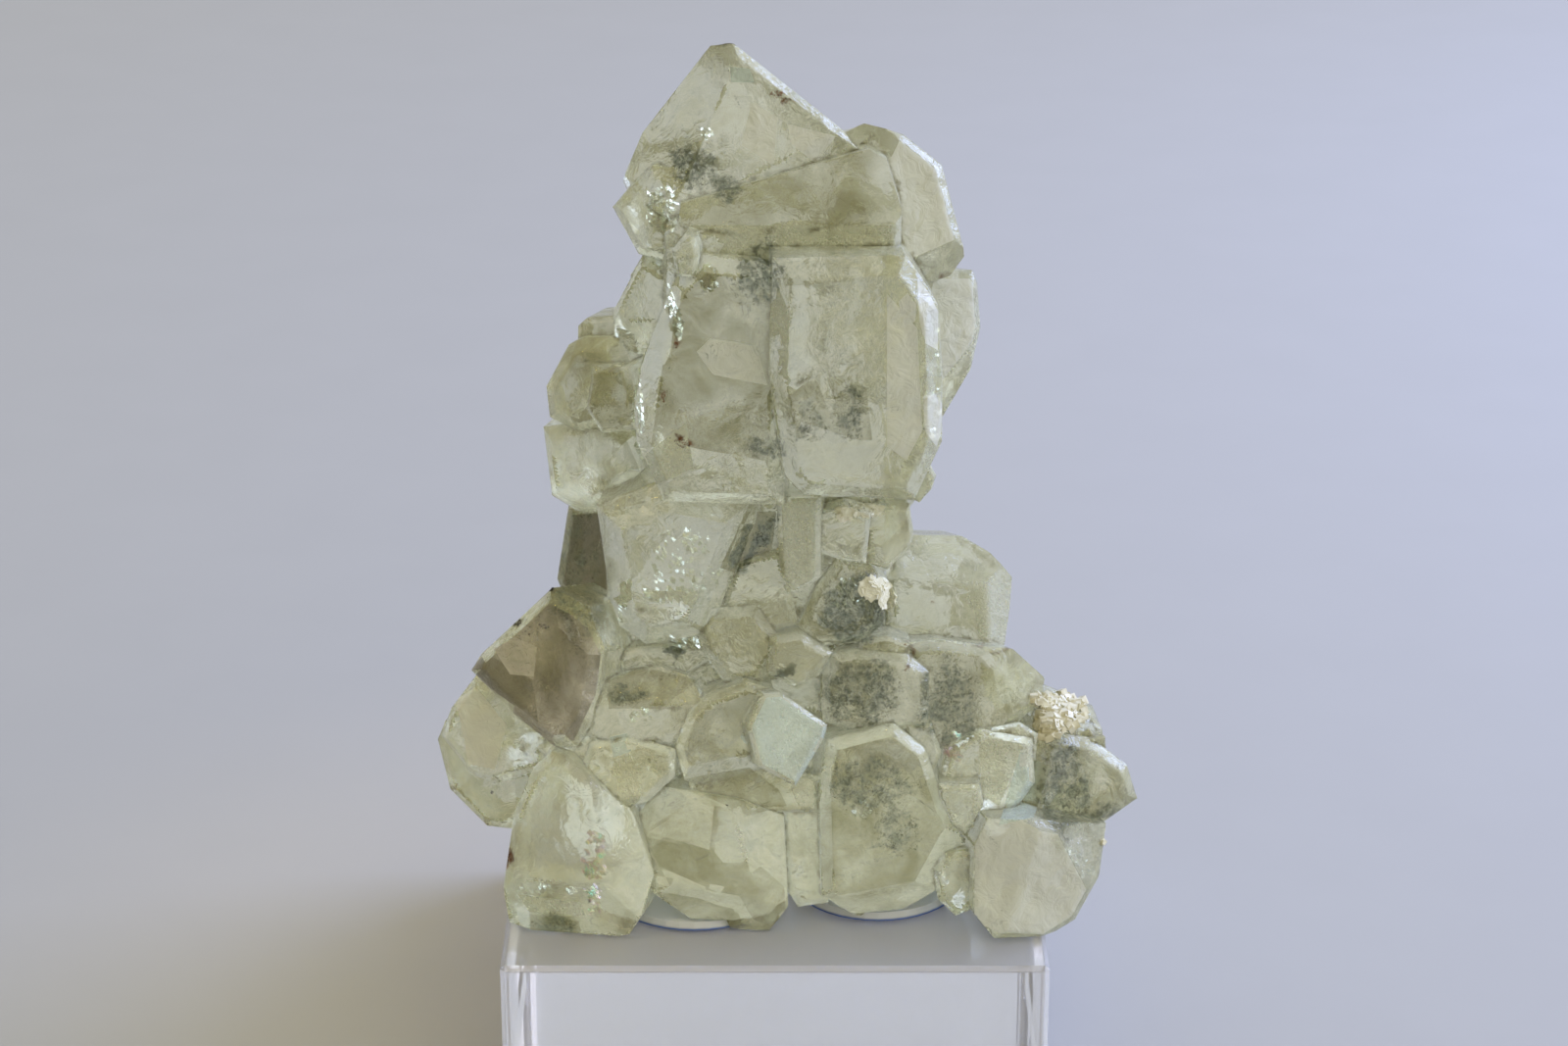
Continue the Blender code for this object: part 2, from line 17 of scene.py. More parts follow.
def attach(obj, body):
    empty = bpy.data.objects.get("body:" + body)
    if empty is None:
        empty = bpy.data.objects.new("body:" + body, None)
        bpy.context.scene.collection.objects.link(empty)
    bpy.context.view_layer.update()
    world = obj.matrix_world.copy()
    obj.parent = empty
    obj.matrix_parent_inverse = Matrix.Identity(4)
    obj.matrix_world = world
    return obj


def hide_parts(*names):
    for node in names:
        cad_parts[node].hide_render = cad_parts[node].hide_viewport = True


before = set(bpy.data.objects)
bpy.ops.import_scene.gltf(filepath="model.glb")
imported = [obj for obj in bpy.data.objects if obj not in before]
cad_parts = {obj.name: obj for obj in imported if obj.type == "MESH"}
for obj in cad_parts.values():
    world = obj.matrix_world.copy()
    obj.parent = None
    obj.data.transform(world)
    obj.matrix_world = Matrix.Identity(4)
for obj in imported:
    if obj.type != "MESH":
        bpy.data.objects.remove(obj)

LOG = logging.getLogger("fluorite_specimen")

MM = 0.001                        # one millimetre in scene units
ROOT = "root"                     # the one body that every piece rides on
WINDOW = (0.50, 0.25, 0.36)       # where the main light hangs, in metres
GROWTH_TURN = (0.4, 0.3, 0.5)     # radians that the crystals' blocky steps are turned by

Pixel = tuple[float, float]
Colour = tuple[float, float, float, float]


# ---------------------------------------------------------------------------
# small helpers
# ---------------------------------------------------------------------------

def linear(code: str) -> Colour:
    """Turn an sRGB hex colour into linear light.

    Args:
        code: The colour as "#rrggbb".

    Returns:
        Red, green, blue and an alpha of one.
    """
    parts = [int(code[place:place + 2], 16) / 255 for place in (1, 3, 5)]
    light = [part / 12.92 if part <= 0.04045 else ((part + 0.055) / 1.055) ** 2.4
             for part in parts]
    return (*light, 1.0)


def add_node(tree: bpy.types.NodeTree, kind: str, settings: dict | None = None,
             inputs: dict | None = None) -> bpy.types.Node:
    """Add a node with its settings, and the values or links of its sockets.

    Args:
        tree: The node tree that takes the node.
        kind: The node's type name.
        settings: The node's own settings, by name.
        inputs: What goes into its sockets, by name or number: a value, the socket that
            feeds it, or a node whose first output does.

    Returns:
        The new node.
    """
    node = tree.nodes.new(kind)
    for name, value in (settings or {}).items():
        setattr(node, name, value)
    for name, value in (inputs or {}).items():
        if isinstance(value, bpy.types.Node):
            value = value.outputs[0]
        if isinstance(value, bpy.types.NodeSocket):
            tree.links.new(value, node.inputs[name])
        else:
            node.inputs[name].default_value = value
    return node


def new_material(name: str) -> tuple[bpy.types.Material, bpy.types.NodeTree, bpy.types.Node]:
    """Make a material with a Principled shader.

    Args:
        name: The material's name.

    Returns:
        The material, its node tree and its shader.
    """
    material = bpy.data.materials.new(name)
    material.use_nodes = True
    return material, material.node_tree, material.node_tree.nodes["Principled BSDF"]


def new_object(name: str, mesh: bpy.types.Mesh, materials: Iterable = ()) -> bpy.types.Object:
    """Put a mesh in the scene as an object at the origin.

    Args:
        name: The object's name.
        mesh: Its mesh, in metres and in place.
        materials: The materials of its slots, in order.

    Returns:
        The new object.
    """
    piece = bpy.data.objects.new(name, mesh)
    bpy.context.scene.collection.objects.link(piece)
    for material in materials:
        mesh.materials.append(material)
    return piece


def smoothstep(low: float, high: float, value: np.ndarray) -> np.ndarray:
    """Ease each value from 0 at low to 1 at high."""
    share = np.clip((value - low) / (high - low), 0.0, 1.0)
    return share * share * (3.0 - 2.0 * share)


# ---------------------------------------------------------------------------
# camera, floor and light
# ---------------------------------------------------------------------------

@dataclass(frozen=True)
class Viewpoint:
    """The camera in front of the specimen, and where its frame's pixels look."""
    place: tuple[float, float, float] = (1.0, -388.5, 224.8)
    pitch: float = 23.0
    lens: float = 86.4
    sensor: float = 36.0
    width: int = 1600
    height: int = 1067

    @property
    def focal(self) -> float:
        """The lens's focal length in pixels of the frame."""
        return self.lens / self.sensor * self.width

    @property
    def axes(self) -> tuple[Vector, Vector, Vector]:
        """The directions of the frame's right, its top and its view.

        Returns:
            Three unit vectors.
        """
        tilt = math.radians(self.pitch)
        return (Vector((1.0, 0.0, 0.0)), Vector((0.0, math.sin(tilt), math.cos(tilt))),
                Vector((0.0, math.cos(tilt), -math.sin(tilt))))

    def ray(self, pixel: Pixel) -> tuple[Vector, Vector]:
        """Give the ray through a pixel.

        Args:
            pixel: Its place in the frame, from the top left corner.

        Returns:
            The ray's start and its direction, in metres.
        """
        right, top, view = self.axes
        across = (pixel[0] - self.width / 2) / self.focal
        down = (pixel[1] - self.height / 2) / self.focal
        return Vector(self.place) * MM, (view + right * across - top * down).normalized()

    def project(self, points: np.ndarray) -> np.ndarray:
        """Give the pixels that points fall on.

        Args:
            points: One point a row, in metres.

        Returns:
            One pixel a row.
        """
        right, top, view = (np.array(axis) for axis in self.axes)
        away = points - np.array(self.place) * MM
        depth = away @ view
        return np.stack((self.width / 2 + self.focal * (away @ right) / depth,
                         self.height / 2 - self.focal * (away @ top) / depth), axis=1)

    def set_up(self) -> None:
        """Make the camera and give the scene to it."""
        camera = bpy.data.cameras.new("camera")
        camera.lens = self.lens
        camera.sensor_width = self.sensor
        camera.clip_start = 0.01
        camera.clip_end = 20.0
        holder = bpy.data.objects.new("camera", camera)
        holder.location = Vector(self.place) * MM
        holder.rotation_euler = (math.radians(90.0 - self.pitch), 0.0, 0.0)
        bpy.context.scene.collection.objects.link(holder)
        bpy.context.scene.camera = holder


@dataclass(frozen=True)
class Lamp:
    """A soft light: its place, aim and size in metres, its power and its colour."""
    name: str
    place: tuple[float, float, float]
    aim: tuple[float, float, float]
    size: tuple[float, float]
    power: float
    colour: str
    cone: float = 0.0             # degrees across, for a light that only reaches a round patch

    def set_up(self) -> None:
        """Hang the light."""
        if self.cone:
            light = bpy.data.lights.new(self.name, 'SPOT')
            light.spot_size, light.spot_blend = math.radians(self.cone), 1.0
            light.shadow_soft_size = self.size[0] / 2
        else:
            light = bpy.data.lights.new(self.name, 'AREA')
            light.shape = 'RECTANGLE'
            light.size, light.size_y = self.size
        light.energy = self.power
        light.color = linear(self.colour)[:3]
        holder = bpy.data.objects.new(self.name, light)
        holder.location = self.place
        aim = Vector(self.aim) - Vector(self.place)
        holder.rotation_euler = aim.to_track_quat('-Z', 'Y').to_euler()
        bpy.context.scene.collection.objects.link(holder)


@dataclass(frozen=True)
class Studio:
    """A plain pale paper floor under a window's soft light from the right.

    The room starts as its left side's colour. Each of the room's colours then takes over
    along an axis, from the first of its two levels to the second.
    """
    floor_side: float = 6.0
    floor_level: float = -0.1     # millimetres, just under the block
    floor_colour: str = "#b2b2b4"
    left_colour: str = "#5a523c"
    room_colours: tuple[tuple[str, float, float, str], ...] = (
        ("X", -0.9, 0.3, "#bdb79c"), ("Y", 0.2, 0.6, "#adb2bb"), ("X", 0.45, 0.95, "#f1f5fb"))
    brightness: float = 1.94
    lamps: tuple[Lamp, ...] = (
        Lamp("window", WINDOW, (0.0, 0.05, 0.03), (0.42, 0.42), 4.25, "#aec2ff"),
        Lamp("room_lamp", (-0.25, -0.15, 0.50), (-0.037, 0.015, 0.0), (0.1, 0.1), 8.0,
             "#ffe080", 7.5),
    )

    def paper(self) -> bpy.types.Material:
        """Make the floor's paper: matt, with a faint mottle of its pulp.

        Returns:
            The material.
        """
        material, tree, shader = new_material("matt_paper")
        shader.inputs["Roughness"].default_value = 0.95
        place = add_node(tree, "ShaderNodeTexCoord")
        mottle = add_node(tree, "ShaderNodeTexNoise", inputs={
            "Vector": place.outputs["Object"], "Scale": 60.0, "Detail": 3.0})
        pale = linear(self.floor_colour)
        tone = add_node(tree, "ShaderNodeMix", {"data_type": 'RGBA'}, {
            0: mottle, 6: pale, 7: (*(0.96 * part for part in pale[:3]), 1.0)})
        tree.links.new(tone.outputs[2], shader.inputs["Base Color"])
        return material

    def set_up(self) -> None:
        """Lay the floor, light the room and hang the lamps."""
        bm = bmesh.new()
        bmesh.ops.create_grid(bm, x_segments=1, y_segments=1, size=self.floor_side / 2)
        bmesh.ops.translate(bm, verts=bm.verts, vec=(0.0, 0.0, self.floor_level * MM))
        mesh = bpy.data.meshes.new("paper_floor")
        bm.to_mesh(mesh)
        bm.free()
        new_object("paper_floor", mesh, [self.paper()])
        world = bpy.data.worlds.new("room")
        bpy.context.scene.world = world
        world.use_nodes = True
        tree = world.node_tree
        place = add_node(tree, "ShaderNodeTexCoord")
        split = add_node(tree, "ShaderNodeSeparateXYZ", inputs={0: place.outputs["Generated"]})
        colour = linear(self.left_colour)
        for axis, low, high, code in self.room_colours:
            share = add_node(tree, "ShaderNodeMapRange", inputs={
                "Value": split.outputs[axis], "From Min": low, "From Max": high})
            colour = add_node(tree, "ShaderNodeMix", {"data_type": 'RGBA'}, {
                0: share, 6: colour, 7: linear(code)}).outputs[2]
        tree.links.new(colour, tree.nodes["Background"].inputs["Color"])
        tree.nodes["Background"].inputs["Strength"].default_value = self.brightness
        for lamp in self.lamps:
            lamp.set_up()
        bpy.context.scene.view_settings.view_transform = 'Standard'


# ---------------------------------------------------------------------------
# the crystals
# ---------------------------------------------------------------------------

class Stain(Enum):
    """What colours or dulls a crystal's face."""
    FROST_AND_HIGHLIGHT = "frost"               # a finely etched, whitish patch; on the right slab's bevel also a painted highlight
    MILK_AND_LIGHT = "milk"                 # pale, cleaner crystal, and painted light on the lit right-hand crystals and the right slab's bevel
    SHADE = "shade"               # a darker, browner crystal
    SOOT_AND_SHADE = "soot"                 # blotches of grey-green dust just under the face, and painted shade in the gaps under and between the slabs
    RUST = "rust"                 # thin brown iron stain
    SEAM = "seam"                 # painted shade: darker along the grooves between crystals


@dataclass(frozen=True)
class Mark:
    """A soft-edged ellipse on the front: centre and radii in pixels, turn in degrees."""
    rim: ClassVar[tuple[float, float]] = (0.7, 1.15)    # where it fades, as shares of the radii
    centre: Pixel
    radii: Pixel
    turn: float = 0.0
    strength: float = 1.0

    def weigh(self, pixels: np.ndarray) -> np.ndarray:
        """Weigh the mark at pixels.

        Args:
            pixels: One pixel a row.

        Returns:
            The mark's strength in its middle, easing to 0 past its rim.
        """
        turn = math.radians(self.turn)
        away = pixels - np.array(self.centre)
        across = (away[:, 0] * math.cos(turn) - away[:, 1] * math.sin(turn)) / self.radii[0]
        along = (away[:, 0] * math.sin(turn) + away[:, 1] * math.cos(turn)) / self.radii[1]
        return self.strength * (1.0 - smoothstep(*self.rim, np.hypot(across, along)))


MARKS: dict[Stain, tuple[Mark, ...]] = {
    Stain.FROST_AND_HIGHLIGHT: (
        Mark((873, 151), (13, 10)),
        Mark((800, 239), (98, 10)),
        Mark((675, 222), (16, 14)),
        Mark((808, 572), (13, 34)),
        Mark((1002, 611), (19, 14)),
        Mark((723, 284), (12, 11)),
        Mark((636, 612), (5, 24), -8),
        Mark((686, 607), (34, 9)),
        Mark((818, 800), (14, 44)),
        # Painted highlight: whitens the right slab's right bevel, where the window's light
        # catches it.
        Mark((951, 410), (9, 70)),
        Mark((795, 330), (7, 60)),
        Mark((640, 795), (14, 28)),
    ),
    Stain.MILK_AND_LIGHT: (
        Mark((695, 570), (38, 48), -20, 0.6),
        Mark((765, 95), (50, 50)),
        # Partly painted light: this mark and the next pale the shoulder and the flag, where the
        # window's light falls.
        Mark((935, 190), (50, 70)),
        Mark((985, 330), (24, 60)),
        Mark((805, 748), (42, 40)),
        Mark((985, 590), (55, 40)),
        # Partly painted light: pales the foot, where the window's light comes through from
        # behind.
        Mark((1060, 900), (60, 60)),
        Mark((1045, 803), (22, 46)),
        Mark((488, 755), (26, 44)),
        Mark((580, 840), (50, 50)),
        Mark((744, 850), (15, 30)),
        # Painted highlight on the right slab's right bevel.
        Mark((940, 400), (30, 90)),
    ),
    Stain.RUST: (
        Mark((794, 97), (9, 5), 0, 1.5),
        Mark((697, 452), (9, 5), -25, 1.6),
        Mark((690, 352), (3, 6), 0, 1.3),
        Mark((677, 405), (3, 7), 0, 1.3),
        Mark((955, 275), (18, 12), 0, 0.6),
        Mark((1018, 660), (28, 4), 10, 0.8),
        Mark((925, 667), (4, 15), 0, 0.8),
        Mark((520, 873), (6, 10), 0, 1.5),
        Mark((1085, 775), (30, 24), 0, 0.4),
    ),
    Stain.SOOT_AND_SHADE: (
        # Painted shade: these two marks darken the gaps under the slab.
        Mark((686, 667), (15, 5), 20, 1.8),
        Mark((799, 681), (14, 5), 15, 1.8),
        Mark((708, 168), (26, 28), 0, 1.15),
        Mark((742, 192), (22, 13), 0, 1.1),
        Mark((775, 278), (32, 34)),
        Mark((870, 420), (17, 32), 0, 0.95),
        Mark((824, 422), (17, 28), 0, 0.8),
        Mark((782, 455), (24, 13), -15),
        # Painted shade in the hollow between the slabs.
        Mark((768, 553), (16, 46), -40, 1.3),
        Mark((590, 590), (30, 78), 0, 0.8),
        Mark((872, 622), (36, 40), 0, 1.2),
        Mark((968, 716), (34, 48)),
        Mark((878, 704), (43, 38)),
        Mark((1085, 803), (30, 56)),
        Mark((1130, 830), (26, 12), 20, 1.1),
        Mark((890, 800), (52, 30), 0, 0.9),
        Mark((915, 848), (24, 24), 0, 0.8),
        Mark((565, 946), (27, 15)),
        Mark((643, 711), (22, 11)),
    ),
    Stain.SHADE: (
        Mark((600, 400), (34, 50), 0, 0.5),
        Mark((590, 590), (34, 82), 0, 0.9),
        Mark((870, 625), (40, 44), 0, 0.5),
        Mark((780, 650), (60, 40), 0, 0.3),
        Mark((968, 718), (36, 50), 0, 0.4),
        Mark((878, 705), (46, 42), 0, 0.3),
        Mark((1085, 803), (34, 56), 0, 0.6),
        Mark((800, 205), (90, 18), -10, 0.4),
        Mark((565, 946), (27, 15), 0, 0.8),
        Mark((748, 948), (46, 9), 0, 0.6),
        Mark((643, 711), (22, 11), 0, 0.8),
    ),
}


class Skin(Enum):
    """How a growth face is finished; the value is its material slot."""
    ETCHED = 0                    # clear, with fine etch pits
    FROSTED = 1                   # whitish, with coarse pits that glitter
    PEARLY = 2                    # a bluish white film
    MILKY_AND_LIT = 3                     # smooth, over a cloudy crystal; also painted light on lit faces and on the right slab's bevel
    SMOKY = 4                     # smooth, over a purplish brown crystal


@dataclass(frozen=True)
class Facet:
    """A growth face of its own finish, picked by a pixel that it is seen at.

    Its tone runs from -1 for a dull brown crystal to 1 for a clean pale one; on the window's side
    some faces are paled as painted light.
    """
    pixel: Pixel
    tone: float
    skin: Skin = Skin.ETCHED


FACETS: tuple[Facet, ...] = (
    Facet((760, 130), 1.0),
    Facet((700, 130), 0.3),
    Facet((800, 100), 0.9),
    Facet((800, 215), -0.5),
    Facet((800, 240), 0.2, Skin.FROSTED),
    # Partly painted light: the shoulder's two faces, on the lit right-hand side.
    Facet((935, 150), 1.2),
    Facet((950, 200), 1.2, Skin.MILKY_AND_LIT),
    Facet((940, 265), 0.7),
    # Partly painted light: the flag, on the lit right-hand side.
    Facet((985, 330), 1.2, Skin.MILKY_AND_LIT),
    Facet((808, 575), 1.0, Skin.FROSTED),
    # Painted highlight: these two pale the right slab's right bevel, where the window's light
    # catches it.
    Facet((951, 410), 1.0),
    Facet((945, 300), 0.9),
    Facet((795, 380), 0.9),
    Facet((870, 360), 0.6),
    Facet((740, 400), -0.7),
    Facet((655, 430), 0.7),
    Facet((800, 748), 0.8, Skin.PEARLY),
    Facet((985, 560), 0.8),
    Facet((980, 620), 0.7),
    Facet((1030, 590), 1.0),
    Facet((1030, 690), 0.8),
    # Partly painted light: these two faces of the foot are paled where the window's light comes
    # through.
    Facet((1060, 900), 1.5, Skin.MILKY_AND_LIT),
    Facet((1100, 900), 1.0, Skin.MILKY_AND_LIT),
    Facet((1020, 850), 1.0),
    Facet((1045, 803), 1.0),
    Facet((1140, 800), 0.2),
    Facet((488, 755), 1.0),
    Facet((580, 860), -0.1),
    Facet((560, 690), -0.5, Skin.SMOKY),
    Facet((590, 590), -1.3, Skin.SMOKY),
    Facet((610, 400), -0.8),
    Facet((968, 718), -0.3),
    Facet((720, 750), -0.7),
    # Partly painted light: these two faces of the foot are paled where the window's light comes
    # through.
    Facet((1060, 950), 1.3, Skin.MILKY_AND_LIT),
    Facet((1015, 940), 1.3, Skin.MILKY_AND_LIT),
    Facet((1120, 860), 1.0),
    Facet((700, 560), 0.8),
    Facet((640, 590), 0.5),
    Facet((745, 900), -0.6),
    Facet((870, 800), -0.5),
    Facet((900, 900), -0.6),
)


@dataclass(frozen=True)
class Pane:
    """A flat part of a growth face with its own finish, inside corners given in pixels."""
    corners: tuple[Pixel, ...]
    tone: float
    skin: Skin = Skin.ETCHED

    def holds(self, pixels: np.ndarray) -> np.ndarray:
        """Tell which pixels lie inside the corners, which turn one way round.

        Args:
            pixels: One pixel a row.

        Returns:
            True for each pixel inside.
        """
        inside = np.ones(len(pixels), dtype=bool)
        for start, end in zip(self.corners, self.corners[1:] + self.corners[:1]):
            along = np.subtract(end, start)
            away = pixels - np.array(start)
            inside &= along[0] * away[:, 1] - along[1] * away[:, 0] > 0.0
        return inside


PANES: tuple[Pane, ...] = (
    Pane(((711, 359), (725, 345), (772, 353), (783, 393), (728, 382)), 1.3, Skin.MILKY_AND_LIT),
    Pane(((755, 752), (782, 711), (806, 716), (846, 744), (813, 803),
          (778, 778)), 0.6, Skin.PEARLY),
    Pane(((745, 68), (765, 70), (770, 84), (746, 84)), 1.0, Skin.PEARLY),
    Pane(((756, 148), (767, 103), (794, 120), (790, 170)), 1.3, Skin.MILKY_AND_LIT),
    Pane(((803, 126), (853, 139), (833, 167), (808, 148)), 1.2, Skin.MILKY_AND_LIT),
    Pane(((658, 134), (733, 53), (739, 70), (683, 128)), 0.5),
    Pane(((797, 267), (875, 264), (872, 287), (800, 292)), -0.4),
    Pane(((905, 300), (936, 335), (941, 440), (925, 470), (905, 455)), 0.6, Skin.MILKY_AND_LIT),
    Pane(((917, 308), (926, 299), (935, 310), (934, 328), (923, 334)), 1.3, Skin.MILKY_AND_LIT),
    Pane(((806, 456), (880, 450), (945, 470), (935, 500), (820, 500)), 0.3),
    Pane(((806, 404), (822, 390), (862, 382), (884, 396), (890, 449), (812, 447)), -0.55),
    Pane(((832, 384), (842, 382), (854, 414), (846, 420)), 0.4),
    # Painted highlight: two bright pieces on the right slab's right bevel, with a darker piece
    # between them.
    Pane(((937, 284), (947, 297), (958, 318), (957, 357), (944, 350), (938, 326)), 1.4,
         Skin.MILKY_AND_LIT),
    Pane(((942, 404), (955, 402), (962, 412), (961, 440), (956, 456), (944, 440)), 1.4,
         Skin.MILKY_AND_LIT),
    Pane(((940, 357), (957, 359), (959, 400), (942, 402)), -0.4),
    Pane(((600, 385), (625, 372), (648, 382), (642, 445), (622, 470), (604, 440)), -0.6),
    Pane(((560, 390), (572, 372), (612, 366), (612, 378), (590, 398), (570, 412)), 0.9),
    Pane(((552, 445), (570, 440), (600, 470), (604, 500), (580, 516), (560, 500)), 0.3),
    Pane(((606, 455), (640, 450), (662, 500), (655, 518), (615, 520)), -0.6),
    Pane(((672, 470), (700, 455), (780, 470), (796, 505), (690, 512)), 0.7),
    Pane(((658, 464), (700, 431), (708, 478), (668, 495)), 0.9, Skin.FROSTED),
    Pane(((650, 405), (676, 300), (692, 296), (684, 360), (654, 422)), 1.0),
    Pane(((660, 262), (690, 250), (700, 290), (682, 296)), 0.6),
    Pane(((661, 561), (678, 523), (762, 520), (740, 580), (722, 620), (652, 616)), 1.0),
    Pane(((650, 622), (735, 620), (730, 636), (664, 640)), 1.0),
    Pane(((478, 682), (525, 640), (563, 620), (600, 640), (613, 668), (608, 708),
          (586, 755), (562, 762), (548, 755)), -0.6, Skin.SMOKY),
    Pane(((566, 622), (590, 632), (606, 650), (612, 668), (600, 668), (570, 640)), 0.9,
         Skin.SMOKY),
    Pane(((504, 662), (525, 650), (548, 660), (545, 690), (520, 688)), 0.3, Skin.SMOKY),
    Pane(((502, 670), (543, 693), (546, 712), (549, 738), (484, 690)), -1.2, Skin.SMOKY),
    Pane(((465, 715), (485, 700), (517, 740), (505, 785), (478, 780)), 0.9, Skin.MILKY_AND_LIT),
    Pane(((488, 698), (548, 750), (540, 766), (520, 745)), 1.0),
    Pane(((629, 726), (684, 723), (672, 760), (640, 765)), 0.7),
    Pane(((621, 694), (650, 679), (713, 694), (673, 723), (621, 723)), -0.8),
    Pane(((546, 860), (600, 850), (596, 905), (550, 900)), 0.9),
    Pane(((540, 932), (590, 940), (598, 962), (542, 955)), -1.0),
    Pane(((528, 912), (592, 922), (598, 936), (540, 930)), 1.0, Skin.FROSTED),
    Pane(((673, 807), (697, 800), (711, 814), (687, 829), (662, 844)), 0.3),
    Pane(((662, 849), (711, 816), (729, 820), (724, 867)), 0.2),
    Pane(((733, 842), (762, 840), (770, 862), (758, 880), (738, 880), (729, 869)), 0.9),
    Pane(((656, 853), (724, 868), (752, 884), (740, 904), (707, 899), (673, 884)), -0.7),
    Pane(((673, 886), (740, 905), (746, 922), (710, 916), (668, 900)), 0.2),
    Pane(((664, 902), (752, 929), (758, 944), (709, 944), (678, 933)), -0.6),
    Pane(((709, 946), (731, 941), (776, 956), (764, 959)), -1.3),
    Pane(((748, 902), (776, 884), (800, 904), (802, 929), (784, 957), (764, 931)), -0.5),
    Pane(((680, 934), (709, 942), (707, 947), (691, 945)), 1.2),
    Pane(((697, 795), (765, 783), (795, 806), (803, 822), (763, 832), (720, 812)), -0.8),
    Pane(((1019, 842), (1041, 767), (1072, 783), (1055, 833)), 1.0, Skin.PEARLY),
    Pane(((1041, 769), (1055, 770), (1054, 783), (1040, 782)), -1.0),
    Pane(((991, 603), (1033, 592), (1027, 650), (999, 650)), 1.0, Skin.FROSTED),
    Pane(((1011, 667), (1047, 672), (1072, 694), (1047, 722), (1019, 717)), 0.9),
    Pane(((999, 761), (1041, 722), (1052, 744), (1019, 822), (1002, 811)), 0.4, Skin.FROSTED),
    Pane(((622, 752), (640, 748), (644, 766), (626, 773)), 0.9, Skin.PEARLY),
    # Painted shade: a dark tone in the hollow between the slabs.
    Pane(((762, 522), (792, 522), (788, 560), (752, 585), (735, 580)), -1.2),
    Pane(((806, 508), (900, 506), (912, 520), (812, 520)), 0.8, Skin.FROSTED),
)


